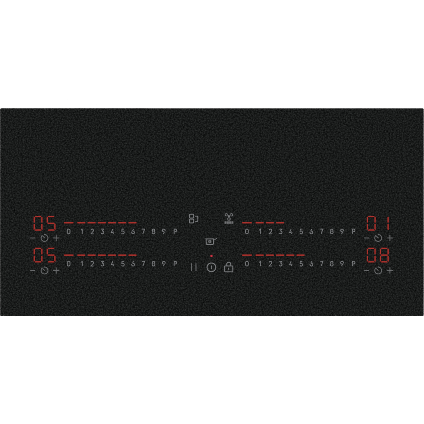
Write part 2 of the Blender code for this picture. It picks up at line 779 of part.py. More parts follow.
def heatsink(label, side):
    """An extruded comb of fins along the air stream."""
    base = 3 * MM
    fins = 9
    fin = 1.4 * MM
    pitch = (2 * HEATSINK_HALF_Y - fin) / (fins - 1)
    low, high = HEATSINK_Z
    section = [(FAN_Y - HEATSINK_HALF_Y, low), (FAN_Y + HEATSINK_HALF_Y, low)]
    for i in reversed(range(fins)):
        left = FAN_Y - HEATSINK_HALF_Y + i * pitch
        if i < fins - 1:
            section.append((left + fin, low + base))
        section += [(left + fin, high), (left, high)]
        if i > 0:
            section.append((left, low + base))
    extruded_along_x(f"heatsink_{label}", "aluminium", section, mirrored(HEATSINK_X, side))


def air_duct(label, side):
    """The duct of the blower's moulding, a tunnel over the heatsink's fins."""
    inner_half = HEATSINK_HALF_Y + 0.8 * MM
    low, top = BOARD_TOP + GAP, HEATSINK_Z[1] + 0.6 * MM
    outer = inner_half + HOUSING_WALL
    section = [
        (FAN_Y - outer, low),
        (FAN_Y - outer, top + HOUSING_WALL),
        (FAN_Y + outer, top + HOUSING_WALL),
        (FAN_Y + outer, low),
        (FAN_Y + inner_half, low),
        (FAN_Y + inner_half, top),
        (FAN_Y - inner_half, top),
        (FAN_Y - inner_half, low),
    ]
    return extruded_along_x(f"air_duct_{label}", None, section, mirrored((84 * MM, 272 * MM), side))


def power_board(label, side):
    """A circuit board with its transistors, capacitors, relays and choke soldered on."""
    plate = (mirrored(BOARD_X, side), BOARD_Y, (BOARD_BASE, BOARD_TOP))
    board = boxes(f"power_board_{label}", "circuit_board", [plate])
    sunk = BOARD_TOP - MM / 2
    parts = []
    for i in range(5):
        x = (98 + 32 * i) * MM
        transistor_y = (FAN_Y - 10 * MM, FAN_Y + 11 * MM)
        parts.append((mirrored((x, x + 16 * MM), side), transistor_y, (sunk, HEATSINK_Z[0] - GAP)))
    for i in range(4):
        x = (34 + 46 * i) * MM
        parts.append((mirrored((x, x + 31 * MM), side), (-58 * MM, -42 * MM), (sunk, 34 * MM)))
    for i in range(5):
        x = (40 + 40 * i) * MM
        parts.append((mirrored((x, x + 28 * MM), side), (-152 * MM, -140 * MM), (sunk, 26 * MM)))
    boolean(board, boxes(f"board_parts_{label}", None, parts), "UNION")
    x, y = side * 240 * MM, -44 * MM
    boolean(board, rods(f"choke_{label}", None, [((x, y, sunk), (x, y, 24 * MM))], 14 * MM), "UNION")
    bore = [((x, y, BOARD_TOP + MM), (x, y, 25 * MM))]
    boolean(board, rods(f"choke_bore_{label}", None, bore, 6 * MM, sides=12))


FILTER_X = (118 * MM, 250 * MM)
FILTER_Y = (56 * MM, 128 * MM)


def filter_board():
    """The mains filter: a board with its capacitors and choke, under the coil shelf."""
    low, high = 6 * MM, 7.6 * MM
    board = boxes("filter_board", "circuit_board", [(FILTER_X, FILTER_Y, (low, high))])
    overlap = 0.2 * MM
    parts = [
        ((126 * MM, 152 * MM), (66 * MM, 78 * MM), (high - overlap, 24 * MM)),
        ((126 * MM, 152 * MM), (86 * MM, 98 * MM), (high - overlap, 24 * MM)),
        ((166 * MM, 200 * MM), (66 * MM, 100 * MM), (high - overlap, 26 * MM)),
        ((214 * MM, 240 * MM), (70 * MM, 92 * MM), (high - overlap, 20 * MM)),
        ((130 * MM, 180 * MM), (112 * MM, 122 * MM), (high - overlap, 17 * MM)),
    ]
    boolean(board, boxes("filter_parts", None, parts), "UNION")
    corners = [(x, y) for x in (124 * MM, 244 * MM) for y in (62 * MM, 122 * MM)]
    feet = [((x, y, SHEET + GAP), (x, y, low + overlap)) for x, y in corners]
    boolean(board, rods("filter_feet", None, feet, 3 * MM, sides=8), "UNION")


# ---------------------------------------------------------------- mains terminals


def terminal_box():
    """A plastic box let into the rear wall, with a bezel, two hinge ears and the cable hole."""
    wall = 1.5 * MM
    face = TERMINAL_FACE_Y
    back = 130 * MM
    bezel_z = (1.2 * MM, 29.5 * MM)
    box = boxes("terminal_box", "grey_plastic", [(TERMINAL_X, (back, face), TERMINAL_Z)])
    bezel = ((-54 * MM, 86 * MM), (CASING_HALF_Y + GAP, face), bezel_z)
    ear_y, ear_z = (face - MM, HINGE_Y + LID_BARREL_R), (1.6 * MM, HINGE_Z + 2.4 * MM)
    ears = [(mirrored((47.4 * MM, 50 * MM), side), ear_y, ear_z) for side in SIDES.values()]
    boolean(box, boxes("terminal_bezel", None, [bezel]), "UNION")
    boolean(box, boxes("hinge_ears", None, ears), "UNION")
    cavity = (
        (TERMINAL_X[0] + wall, TERMINAL_X[1] - wall),
        (back + wall, face - 2.3 * MM),
        (TERMINAL_Z[0] + wall, TERMINAL_Z[1] - wall),
    )
    boolean(box, boxes("terminal_cavity", None, [cavity]))
    mouth = ((-44 * MM, 44 * MM), (face - 4 * MM, face + MM), (7 * MM, 24.6 * MM))
    boolean(box, boxes("terminal_mouth", None, [mouth]))
    bores = [
        ((side * 44 * MM, HINGE_Y, HINGE_Z), (side * 53 * MM, HINGE_Y, HINGE_Z)) for side in SIDES.values()
    ]
    boolean(box, rods("ear_bores", None, bores, 1.2 * MM, sides=10))
    cable_hole = [((GROMMET_X, face - 5 * MM, GROMMET_Z), (GROMMET_X, face + MM, GROMMET_Z))]
    boolean(box, rods("cable_hole", None, cable_hole, 8 * MM, sides=20))
    wire_hole = [((0, back - MM, 15 * MM), (0, back + 3 * MM, 15 * MM))]
    boolean(box, rods("wire_hole", None, wire_hole, 3.4 * MM, sides=10))


def terminal_block():
    """Six poles between raised barriers, with a wire pocket facing the lid at each pole."""
    pole = 12 * MM
    half_x = 3 * pole
    y = (146 * MM, 163 * MM)
    z = (5.6 * MM, 21 * MM)
    block = boxes("terminal_block", "white_plastic", [((-half_x, half_x), y, z)])
    barriers = []
    for i in range(7):
        x = -half_x + i * pole
        thickness = (x - 0.8 * MM, x + 0.8 * MM)
        barriers.append((thickness, (y[0] + MM, y[1] + 3 * MM), (z[0] + MM, z[1] + 2 * MM)))
    boolean(block, boxes("terminal_barriers", None, barriers), "UNION")
    pockets = [
        ((x - 3.4 * MM, x + 3.4 * MM), (y[1] - 6 * MM, y[1] + MM), (8.2 * MM, 15 * MM))
        for x in (-half_x + pole * (i + 0.5) for i in range(6))
    ]
    boolean(block, boxes("terminal_pockets", None, pockets))


def terminal_lid():
    """The lid over the terminals, curled round the pin at its lower edge."""
    plate_y = (TERMINAL_FACE_Y + 0.5 * MM, TERMINAL_FACE_Y + 2.1 * MM)
    plate = ((-LID_HALF_X, LID_HALF_X), plate_y, (HINGE_Z + 1.5 * MM, 27.5 * MM))
    lid = boxes("terminal_lid", "grey_plastic", [plate])
    barrel = [((-LID_HALF_X, HINGE_Y, HINGE_Z), (LID_HALF_X, HINGE_Y, HINGE_Z))]
    boolean(lid, rods("lid_barrel", None, barrel, LID_BARREL_R, sides=16), "UNION")
    tab = ((-8 * MM, 8 * MM), (plate_y[0] + MM, plate_y[1] + 2 * MM), (25.7 * MM, 27.5 * MM))
    boolean(lid, boxes("lid_tab", None, [tab]), "UNION")
    bore = [((-LID_HALF_X - MM, HINGE_Y, HINGE_Z), (LID_HALF_X + MM, HINGE_Y, HINGE_Z))]
    boolean(lid, rods("lid_bore", None, bore, 1.25 * MM, sides=12))


def lid_pin():
    half_length = 50.4 * MM
    ends = [((-half_length, HINGE_Y, HINGE_Z), (half_length, HINGE_Y, HINGE_Z))]
    rods("lid_pin", "screw_steel", ends, 0.9 * MM, sides=10)


def cable_grommet():
    """The rubber bush of the mains cable's inlet, clipped in its hole from both sides."""
    bore, neck, flange = 5.5 * MM, 7.6 * MM, 10.5 * MM
    face = TERMINAL_FACE_Y + GAP
    back = CASING_HALF_Y - 0.5 * MM - GAP
    lip = 1.6 * MM
    # A height on the profile is a distance rearwards, along +Y.
    profile = [
        (bore, face + lip),
        (flange - 0.8 * MM, face + lip),
        (flange, face),
        (neck, face),
        (neck, back),
        (flange - MM, back),
        (flange - 2 * MM, back - lip),
        (bore, back - lip),
    ]
    centre = (GROMMET_X, 0, GROMMET_Z)
    turned("cable_grommet", "rubber", profile, centre, axis="Y", steps=20, closed=True)


# ---------------------------------------------------------------- control unit


def control_unit():
    """The touch control board on its frame, with its slider lights and digit displays soldered on."""
    low_y, high_y = CONTROL_Y
    x = (-CONTROL_X, CONTROL_X)
    thickness = (CONTROL_BOARD_BASE, CONTROL_BOARD_TOP)
    board = boxes("control_board", "circuit_board", [(x, CONTROL_Y, thickness)])
    frame_z = (39.9 * MM, CONTROL_BOARD_BASE - GAP)
    rim = rectangle((x[0] - 3 * MM, x[1] + 3 * MM), (low_y - 3 * MM, high_y + 2 * MM))
    bar = 6 * MM
    bays = 4
    bay = (2 * CONTROL_X - bar) / bays
    lefts = [x[0] + i * bay for i in range(bays)]
    windows = [rectangle((left + bar, left + bay), (low_y + bar, high_y - bar)) for left in lefts]
    middle = Matrix.Translation((0, 0, sum(frame_z) / 2))
    frame = outline("control_frame", "black_plastic", [rim, *windows], frame_z[1] - frame_z[0], middle)
    half = 4 * MM
    feet = [(0, low_y - 6 * MM + half), (0, high_y + half - 3 * MM)]
    feet += [(side * (CONTROL_X - 3 * MM), high_y - 2 * MM) for side in SIDES.values()]
    leg_z = (TRAY_TOP + GAP, frame_z[0] + MM)
    legs = [((fx - half, fx + half), (fy - half, fy + half), leg_z) for fx, fy in feet]
    boolean(frame, boxes("frame_legs", None, legs), "UNION")
    z = (CONTROL_BOARD_TOP - MM / 2, GLASS_UNDERSIDE - GAP)
    slider_half, display_half_x, display_half_y = 110 * MM, 25 * MM, 16 * MM
    lights = []
    for y in CONTROL_ROW_Y:
        for side in SIDES.values():
            slider_x = CONTROL_CENTRE_X + side * 168 * MM
            display_x = CONTROL_CENTRE_X + side * 315 * MM
            lights.append(((slider_x - slider_half, slider_x + slider_half), (y - 3 * MM, y + 5 * MM), z))
            display_y = (y - display_half_y, y + display_half_y)
            lights.append(((display_x - display_half_x, display_x + display_half_x), display_y, z))
    boolean(board, boxes("lights_and_displays", None, lights), "UNION")


# ---------------------------------------------------------------- side springs


def side_springs():
    """Bent leaves that flex into windows in the side walls, each above a riveted tab."""
    bend_mm = [(0, 0), (2.2, 10), (5.4, 19), (4.6, 23), (0.8, SPRING_HEIGHT / MM)]
    bend = [(u * MM, z * MM) for u, z in bend_mm]
    section = bend + [(u - SPRING_LEAF, z) for u, z in reversed(bend)]
    for label, side in SIDES.items():
        for end, y in zip(("front", "rear"), SPRING_YS):
            points = [(side * (SPRING_PIVOT_X + u), SPRING_PIVOT_Z + z) for u, z in section]
            leaf = extrusion(points, (y - SPRING_HALF_Y, y + SPRING_HALF_Y))
            spring = finish(f"side_spring_{label}_{end}", leaf, "spring_steel")
            origin = Vector((side * SPRING_PIVOT_X, y, SPRING_PIVOT_Z))
            spring.data.transform(Matrix.Translation(-origin))
            spring.location = origin


def spring_tabs(label, side):
    """Cutters for the riveted feet of one side's springs, which are joined to the end sheet."""
    tabs, rivets = [], []
    x = mirrored((CASING_HALF_X - SHEET / 2, CASING_HALF_X + SPRING_LEAF), side)
    z = (3 * MM, SPRING_PIVOT_Z - 0.4 * MM)
    for y in SPRING_YS:
        tabs.append((x, (y - SPRING_HALF_Y, y + SPRING_HALF_Y), z))
        wall = Vector((side * (CASING_HALF_X + SPRING_LEAF / 2), y, sum(z) / 2))
        rivets.append((wall, wall + Vector((side * 1.4 * MM, 0, 0))))
    feet = boxes(f"spring_tabs_{label}", None, tabs)
    return feet, rods(f"tab_rivets_{label}", None, rivets, 2.4 * MM, sides=10)


# ---------------------------------------------------------------- wiring


def mains_harness():
    """The sleeved bundle of mains wires from the terminal box to the filter board."""
    z = 15 * MM
    end_x, end_y = FILTER_X[0] - 3 * MM, FILTER_Y[0] + 30 * MM
    route = [
        (0, 129.6 * MM, z),
        (0, 124 * MM, z),
        (3 * MM, 116 * MM, z),
        (12 * MM, 108 * MM, z - MM),
        (28 * MM, 101 * MM, z - 2 * MM),
        (60 * MM, 94 * MM, z - 3 * MM),
        (90 * MM, 88 * MM, z - 4 * MM),
        (end_x - 8 * MM, end_y, z - 4 * MM),
        (end_x, end_y, z - 4 * MM),
    ]
    tube("mains_harness", "sleeving", route, 2.8 * MM)


def ribbon_cable():
    """The flat cable from the control board down to the left power board."""
    leaf = 0.8 * MM
    line = [(-32 * MM, BOARD_TOP + GAP), (-32 * MM, 22 * MM), (-29 * MM, 30 * MM), (-29 * MM, 43 * MM)]
    section = line + [(y + leaf, z) for y, z in reversed(line)]
    extruded_along_x("ribbon_cable", "grey_plastic", section, (-42 * MM, -26 * MM))


def main():
    glass_plate()
    seal_tape()
    silicone_bond()
    holes = screw_holes()
    glass_rails(holes)
    casing_screws()
    casing_pan(holes)
    coil_units()
    mica_sheet()
    coil_shelf()
    electronics_tray()
    for label, side in SIDES.items():
        casing_end(label, side)
        fan_housing(label, side)
        fan_base(label, side)
        fan_rotor(label, side)
        heatsink(label, side)
        power_board(label, side)
    filter_board()
    terminal_box()
    terminal_block()
    terminal_lid()
    lid_pin()
    cable_grommet()
    control_unit()
    side_springs()
    mains_harness()
    ribbon_cable()


main()
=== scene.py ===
"""The look of the induction hob: its glass, printed marks and lit displays, and every surface of its casing.

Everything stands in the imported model's frame, in metres: +X right, +Y to the rear, +Z up.
"""

import json
import math

import bmesh
import bpy
from mathutils import Matrix, Vector

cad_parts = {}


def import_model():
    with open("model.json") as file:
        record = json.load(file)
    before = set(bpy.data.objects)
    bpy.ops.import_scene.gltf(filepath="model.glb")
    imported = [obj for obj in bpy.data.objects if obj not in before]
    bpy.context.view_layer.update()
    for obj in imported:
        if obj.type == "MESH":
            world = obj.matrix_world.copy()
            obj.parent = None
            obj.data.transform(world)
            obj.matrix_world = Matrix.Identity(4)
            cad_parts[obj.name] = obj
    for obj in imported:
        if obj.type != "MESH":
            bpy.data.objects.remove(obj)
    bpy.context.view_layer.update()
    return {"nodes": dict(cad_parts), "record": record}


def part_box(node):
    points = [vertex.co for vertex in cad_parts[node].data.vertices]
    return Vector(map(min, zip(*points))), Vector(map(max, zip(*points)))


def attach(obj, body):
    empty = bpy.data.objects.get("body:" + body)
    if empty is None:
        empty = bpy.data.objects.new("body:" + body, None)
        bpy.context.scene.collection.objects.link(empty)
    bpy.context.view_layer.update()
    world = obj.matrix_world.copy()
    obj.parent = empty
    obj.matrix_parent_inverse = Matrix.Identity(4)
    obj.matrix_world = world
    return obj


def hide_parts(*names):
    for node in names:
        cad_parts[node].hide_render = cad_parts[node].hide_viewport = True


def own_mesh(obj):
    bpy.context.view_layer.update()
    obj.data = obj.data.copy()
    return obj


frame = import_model()
NODES = frame["nodes"]
MM = 0.001
ZONES = range(1, 5)

glass_low, glass_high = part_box("glass_plate")
GLASS_TOP = glass_high.z
GLASS_CENTRE = (glass_low + glass_high) / 2
GLASS_WIDTH = glass_high.x - glass_low.x

# --------------------------------------------------------------- materials

GLASS_BLACK = (0.0042, 0.0050, 0.0047)
GLASS_DOT = (0.0098, 0.0107, 0.0103)
MARK_GREY = (0.27, 0.28, 0.29)
KEY_GREY = (0.19, 0.197, 0.203)
LED_RED = (0.46, 0.034, 0.027)
POWER_RED = (0.58, 0.036, 0.060)

# Each field of dots on the glass has a pitch and a turn in radians. A dot's edge is a share of the pitch.
SPECKLE = ((4.6 * MM, 0.0), (5.2 * MM, 0.6), (4.1 * MM, 1.1))
DOT_OUTER, DOT_INNER = 0.31, 0.15
GRAIN_PITCH = 2.1 * MM
GRAIN_LOW, GRAIN_HIGH = -0.55, 0.95

BOARD_TOP = 1.7 * MM
CARRIER_PLATE = 3.6 * MM


class Shader:
    """A Principled material that is built up node by node. All textures use the object's own metres."""

    def __init__(self, name, colour, roughness=0.5, metallic=0.0, **sockets):
        self.material = bpy.data.materials.new(name)
        self.material.use_nodes = True
        self.tree = self.material.node_tree
        self.main = self.tree.nodes["Principled BSDF"]
        self.main.inputs["Base Color"].default_value = (*colour, 1)
        self.main.inputs["Roughness"].default_value = roughness
        self.main.inputs["Metallic"].default_value = metallic
        for socket, value in sockets.items():
            self.main.inputs[socket.replace("_", " ")].default_value = value
        self.place = self.add("ShaderNodeTexCoord").outputs["Object"]

    def add(self, kind, **settings):
        node = self.tree.nodes.new(kind)
        for name, value in settings.items():
            setattr(node, name, value)
        return node

    def link(self, source, target):
        self.tree.links.new(source, target)

    def feed(self, node, socket, value):
        """A socket takes a constant or another node's output."""
        if isinstance(value, bpy.types.NodeSocket):
            self.link(value, node.inputs[socket])
        else:
            node.inputs[socket].default_value = value

    def stretched(self, scale):
        mapping = self.add("ShaderNodeMapping")
        self.link(self.place, mapping.inputs["Vector"])
        mapping.inputs["Scale"].default_value = scale
        return mapping.outputs["Vector"]

    def noise(self, scale, detail=2.0, stretch=None):
        node = self.add("ShaderNodeTexNoise")
        self.link(self.stretched(stretch) if stretch else self.place, node.inputs["Vector"])
        node.inputs["Scale"].default_value = scale
        node.inputs["Detail"].default_value = detail
        return node.outputs["Fac"]

    def cells(self, scale, stretch=None):
        node = self.add("ShaderNodeTexVoronoi")
        self.link(self.stretched(stretch) if stretch else self.place, node.inputs["Vector"])
        node.inputs["Scale"].default_value = scale
        return node

    def math(self, operation, a, b):
        node = self.add("ShaderNodeMath", operation=operation)
        self.feed(node, 0, a)
        self.feed(node, 1, b)
        return node.outputs[0]

    def ramp(self, value, low, high, to_low=0.0, to_high=1.0):
        """value from low..high made to_low..to_high, clamped."""
        node = self.add("ShaderNodeMapRange")
        self.feed(node, "Value", value)
        for socket, number in zip(("From Min", "From Max", "To Min", "To Max"), (low, high, to_low, to_high)):
            node.inputs[socket].default_value = number
        return node.outputs["Result"]

    def mix(self, factor, a, b):
        """Colour a where factor is 0, b where it is 1."""
        node = self.add("ShaderNodeMix", data_type="RGBA")
        self.feed(node, "Factor", factor)
        for socket, value in (("A", a), ("B", b)):
            target = [s for s in node.inputs if s.name == socket and s.type == "RGBA"][0]
            if isinstance(value, bpy.types.NodeSocket):
                self.link(value, target)
            else:
                target.default_value = (*value, 1)
        return [s for s in node.outputs if s.type == "RGBA"][0]

    def add_light(self, factor, a, b):
        """Colour a plus factor times colour b, where factor may pass 1."""
        scaled = self.add("ShaderNodeVectorMath", operation="SCALE")
        scaled.inputs[0].default_value = b
        self.feed(scaled, "Scale", factor)
        total = self.add("ShaderNodeVectorMath", operation="ADD")
        self.link(scaled.outputs[0], total.inputs[0])
        total.inputs[1].default_value = a
        return total.outputs[0]

    def height(self):
        """The z coordinate, in metres."""
        split = self.add("ShaderNodeSeparateXYZ")
        self.link(self.place, split.inputs["Vector"])
        return split.outputs["Z"]

    def above_board(self, base):
        """0 on a circuit board whose underside is at the height base, 1 on what stands on it."""
        return self.ramp(self.height(), base + BOARD_TOP, base + BOARD_TOP + 0.2 * MM)

    def facing_up(self):
        """1 on faces that look up, 0 on the rest."""
        geometry = self.add("ShaderNodeNewGeometry")
        split = self.add("ShaderNodeSeparateXYZ")
        self.link(geometry.outputs["Normal"], split.inputs["Vector"])
        return self.ramp(split.outputs["Z"], 0.9, 0.99)

    def colour(self, value):
        self.link(value, self.main.inputs["Base Color"])

    def roughness(self, value):
        self.link(value, self.main.inputs["Roughness"])

    def bump(self, value, strength, distance):
        node = self.add("ShaderNodeBump")
        self.link(value, node.inputs["Height"])
        node.inputs["Strength"].default_value = strength
        node.inputs["Distance"].default_value = distance
        self.link(node.outputs["Normal"], self.main.inputs["Normal"])


def black_glass():
    """Black glass-ceramic, printed with three fields of soft light dots that overlap into a fine speckle."""
    s = Shader("black_glass", GLASS_BLACK, 0.07, IOR=1.52)
    pattern = 0.0
    for pitch, turn in SPECKLE:
        mapping = s.add("ShaderNodeMapping")
        s.link(s.place, mapping.inputs["Vector"])
        mapping.inputs["Rotation"].default_value = (0, 0, turn)
        field = s.add("ShaderNodeTexVoronoi", voronoi_dimensions="2D")
        s.link(mapping.outputs["Vector"], field.inputs["Vector"])
        field.inputs["Scale"].default_value = 1 / pitch
        field.inputs["Randomness"].default_value = 0.8
        pattern = s.math("ADD", s.ramp(field.outputs["Distance"], DOT_OUTER, DOT_INNER), pattern)
    grain = s.ramp(s.noise(1 / GRAIN_PITCH, 1.0), 0.22, 0.78, GRAIN_LOW, GRAIN_HIGH)
    pattern = s.math("ADD", grain, pattern)
    print_dots = s.math("MULTIPLY", pattern, s.facing_up())
    s.colour(s.add_light(print_dots, GLASS_BLACK, GLASS_DOT))
    s.roughness(s.ramp(s.noise(9, 2.0), 0.3, 0.7, 0.055, 0.085))
    return s.material


def foam_seal():
    """Closed-cell foam tape."""
    s = Shader("foam_seal", (0.03, 0.03, 0.032), 0.95)
    pores = s.cells(1 / (0.7 * MM)).outputs["Distance"]
    s.colour(s.mix(s.ramp(pores, 0.1, 0.6), (0.012, 0.012, 0.013), (0.045, 0.045, 0.048)))
    s.bump(pores, 0.6, 0.3 * MM)
    return s.material


def zinc_steel():
    """Galvanised sheet: crystals of unequal grey, with fine rolling lines and faint smudges."""
    s = Shader("zinc_steel", (0.5, 0.51, 0.52), 0.4, 1.0)
    crystals = s.cells(1 / (4.5 * MM))
    grey = s.add("ShaderNodeSeparateColor")
    s.link(crystals.outputs["Color"], grey.inputs["Color"])
    smudge = s.noise(14, 4.0)
    spangle = s.math("ADD", s.math("MULTIPLY", grey.outputs["Red"], 0.5), s.math("MULTIPLY", smudge, 0.5))
    s.colour(s.mix(s.ramp(spangle, 0.15, 0.85), (0.41, 0.42, 0.43), (0.50, 0.51, 0.515)))
    lines = s.noise(60, 3.0, stretch=(1, 30, 30))
    rough = s.ramp(grey.outputs["Green"], 0, 1, 0.38, 0.48)
    s.roughness(s.math("ADD", rough, s.ramp(lines, 0.3, 0.7, -0.03, 0.04)))
    s.bump(s.math("ADD", lines, s.math("MULTIPLY", grey.outputs["Blue"], 0.3)), 0.08, 0.04 * MM)
    return s.material


def brushed(name, light, dark, roughness, stretch):
    """Bright metal with fine lines across the direction that is stretched."""
    s = Shader(name, light, roughness, 1.0)
    lines = s.noise(90, 4.0, stretch=stretch)
    s.colour(s.mix(s.ramp(lines, 0.25, 0.75), dark, light))
    s.roughness(s.ramp(lines, 0.2, 0.8, roughness * 0.75, roughness * 1.3))
    s.bump(lines, 0.15, 0.05 * MM)
    return s.material


def moulded(name, colour, roughness=0.5):
    """Injection-moulded plastic with a spark-eroded grain."""
    s = Shader(name, colour, roughness)
    grain = s.noise(1 / (0.5 * MM), 3.0)
    broad = s.noise(30, 2.0)
    lighter = tuple(min(1, c * 1.25 + 0.004) for c in colour)
    s.colour(s.mix(s.ramp(broad, 0.3, 0.7), colour, lighter))
    s.roughness(s.ramp(grain, 0.3, 0.7, roughness - 0.08, roughness + 0.1))
    s.bump(grain, 0.25, 0.06 * MM)
    return s.material


def carrier_plastic():
    """The coil carriers: black plastic above, and dark grey ferrite on the bars below its underside."""
    bars_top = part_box("coil_carrier_1")[1].z - CARRIER_PLATE
    s = Shader("coil_carrier", (0.02, 0.02, 0.022), 0.55)
    grain = s.noise(1 / (0.6 * MM), 3.0)
    ferrite = s.mix(s.ramp(grain, 0.3, 0.7), (0.035, 0.035, 0.04), (0.085, 0.085, 0.09))
    below = s.ramp(s.height(), bars_top, bars_top - 0.1 * MM)
    s.colour(s.mix(below, (0.018, 0.018, 0.02), ferrite))
    s.bump(grain, 0.3, 0.08 * MM)
    return s.material


def control_board_finish():
    """The control board: white light guides and dark displays stand on its green board."""
    s = Shader("control_board", (0.02, 0.12, 0.05), 0.38)
    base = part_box("control_board")[0].z
    lines = s.add("ShaderNodeTexBrick")
    s.link(s.place, lines.inputs["Vector"])
    for socket, value in (("Scale", 60.0), ("Mortar Size", 0.02), ("Brick Width", 1.4), ("Row Height", 0.22)):
        lines.inputs[socket].default_value = value
    tracks = lines.outputs["Fac"]
    board = s.mix(tracks, (0.014, 0.095, 0.040), (0.034, 0.20, 0.080))
    windows = s.noise(60, 1.0)
    lens = s.mix(s.ramp(windows, 0.4, 0.6), (0.030, 0.030, 0.032), (0.055, 0.052, 0.050))
    s.colour(s.mix(s.above_board(base), board, lens))
    s.bump(tracks, 0.2, 0.05 * MM)
    return s.material


def component_boards():
    """The power and filter boards: bare board at its own level, black, white and blue parts above it."""
    s = Shader("component_board", (0.02, 0.12, 0.05), 0.4)
    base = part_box("power_board_left")[0].z
    cell = s.cells(1 / (46 * MM), stretch=(1, 1, 0.02))
    pick = s.add("ShaderNodeSeparateColor")
    s.link(cell.outputs["Color"], pick.inputs["Color"])
    parts = s.mix(s.ramp(pick.outputs["Red"], 0.45, 0.5), (0.02, 0.02, 0.022), (0.03, 0.10, 0.28))
    parts = s.mix(s.ramp(pick.outputs["Green"], 0.7, 0.75), parts, (0.62, 0.62, 0.58))
    board = s.mix(s.ramp(s.noise(160, 2.0), 0.4, 0.6), (0.012, 0.085, 0.035), (0.03, 0.17, 0.07))
    above = s.above_board(base)
    s.colour(s.mix(above, board, parts))
    return s.material


def copper_litz():
    """Stranded copper. A winding's UV runs along the wire and round it, so the strands twist about it."""
    s = Shader("copper_litz", (0.62, 0.28, 0.13), 0.38, 1.0)
    mapping = s.add("ShaderNodeMapping")
    s.link(s.add("ShaderNodeTexCoord").outputs["UV"], mapping.inputs["Vector"])
    mapping.inputs["Rotation"].default_value = (0, 0, math.radians(38))
    wave = s.add("ShaderNodeTexWave")
    s.link(mapping.outputs["Vector"], wave.inputs["Vector"])
    wave.inputs["Scale"].default_value = 1.6
    wave.inputs["Distortion"].default_value = 0.6
    strands = wave.outputs["Fac"]
    enamel = s.ramp(s.noise(240, 2.0), 0.3, 0.7)
    worn = s.mix(enamel, (0.50, 0.20, 0.08), (0.76, 0.38, 0.19))
    s.colour(s.mix(s.ramp(strands, 0.1, 0.6), (0.20, 0.07, 0.03), worn))
    s.roughness(s.ramp(enamel, 0, 1, 0.30, 0.46))
    s.bump(strands, 0.5, 0.2 * MM)
    return s.material


def mica():
    """Pressed mica flakes."""
    s = Shader("mica", (0.46, 0.40, 0.31), 0.45)
    flakes = s.cells(1 / (2.4 * MM))
    tone = s.add("ShaderNodeSeparateColor")
    s.link(flakes.outputs["Color"], tone.inputs["Color"])
    s.colour(s.mix(tone.outputs["Red"], (0.34, 0.29, 0.21), (0.60, 0.54, 0.43)))
    s.roughness(s.ramp(tone.outputs["Green"], 0, 1, 0.25, 0.6))
    return s.material


def sleeving():
    """Woven glass-fibre sleeve: two sets of crossed waves."""
    s = Shader("sleeving", (0.36, 0.05, 0.04), 0.7, Sheen_Weight=0.3)
    bands = []
    for direction in ("DIAGONAL", "X"):
        wave = s.add("ShaderNodeTexWave", bands_direction=direction)
        s.link(s.place, wave.inputs["Vector"])
        wave.inputs["Scale"].default_value = 220
        bands.append(wave.outputs["Fac"])
    weave = s.math("MULTIPLY", *bands)
    s.colour(s.mix(weave, (0.20, 0.03, 0.025), (0.48, 0.08, 0.06)))
    s.bump(weave, 0.5, 0.2 * MM)
    return s.material


def rubber(name, colour):
    """Dull rubber or silicone with a little dust."""
    s = Shader(name, colour, 0.72)
    dust = s.noise(220, 4.0)
    lighter = tuple(c * 1.7 for c in colour)
    s.colour(s.mix(s.ramp(dust, 0.4, 0.75), colour, lighter))
    s.bump(dust, 0.3, 0.08 * MM)
    return s.material


def printed_mark(name, grey):
    """Light grey ceramic ink, a little uneven as screen print is."""
    s = Shader(name, grey, 0.35)
    ink = s.noise(1 / (0.6 * MM), 2.0)
    s.colour(s.mix(s.ramp(ink, 0.3, 0.7), tuple(c * 0.85 for c in grey), grey))
    return s.material


def lit_segment(name, red):
    """Red light behind the glass, a little brighter in patches."""
    s = Shader(name, (0.02, 0.001, 0.001), 0.08)
    spread = s.noise(150, 1.0)
    patches = s.mix(s.ramp(spread, 0.3, 0.7), tuple(c * 0.86 for c in red), red)
    s.link(patches, s.main.inputs["Emission Color"])
    s.main.inputs["Emission Strength"].default_value = 1.0
    return s.material


def label_foil():
    """Brushed foil, as rating plates are printed on."""
    s = Shader("label_foil", (0.66, 0.67, 0.68), 0.32, 0.6)
    fibre = s.noise(120, 3.0, stretch=(1, 12, 1))
    s.colour(s.mix(s.ramp(fibre, 0.3, 0.7), (0.58, 0.59, 0.60), (0.72, 0.73, 0.74)))
    return s.material


def finish_cad_nodes():
    """Each CAD node gets its own material or that of its slot in the record. Returns the slots' materials."""
    own = {"control_board": control_board_finish()}
    own.update(dict.fromkeys([f"coil_carrier_{number}" for number in ZONES], carrier_plastic()))
    built = {
        "black_glass": black_glass(),
        "foam_seal": foam_seal(),
        "silicone": rubber("silicone", (0.05, 0.05, 0.052)),
        "zinc_steel": zinc_steel(),
        "spring_steel": brushed("spring_steel", (0.66, 0.66, 0.67), (0.42, 0.42, 0.44), 0.26, (1, 20, 1)),
        "screw_steel": brushed("screw_steel", (0.74, 0.74, 0.76), (0.52, 0.52, 0.55), 0.22, (6, 1, 6)),
        "aluminium": brushed("aluminium", (0.74, 0.75, 0.76), (0.56, 0.57, 0.59), 0.34, (1, 24, 24)),
        "black_plastic": moulded("black_plastic", (0.018, 0.018, 0.02)),
        "grey_plastic": moulded("grey_plastic", (0.17, 0.175, 0.18)),
        "white_plastic": moulded("white_plastic", (0.68, 0.68, 0.65)),
        "circuit_board": component_boards(),
        "copper_litz": copper_litz(),
        "mica": mica(),
        "sleeving": sleeving(),
        "rubber": rubber("rubber", (0.02, 0.02, 0.021)),
    }
    for subpart in frame["record"]["subparts"]:
        name = subpart["node"]
        mesh = NODES[name].data
        mesh.materials.clear()
        mesh.materials.append(own.get(name, built[subpart["material_slot"]]))
    return built


# --------------------------------------------------------------- meshes


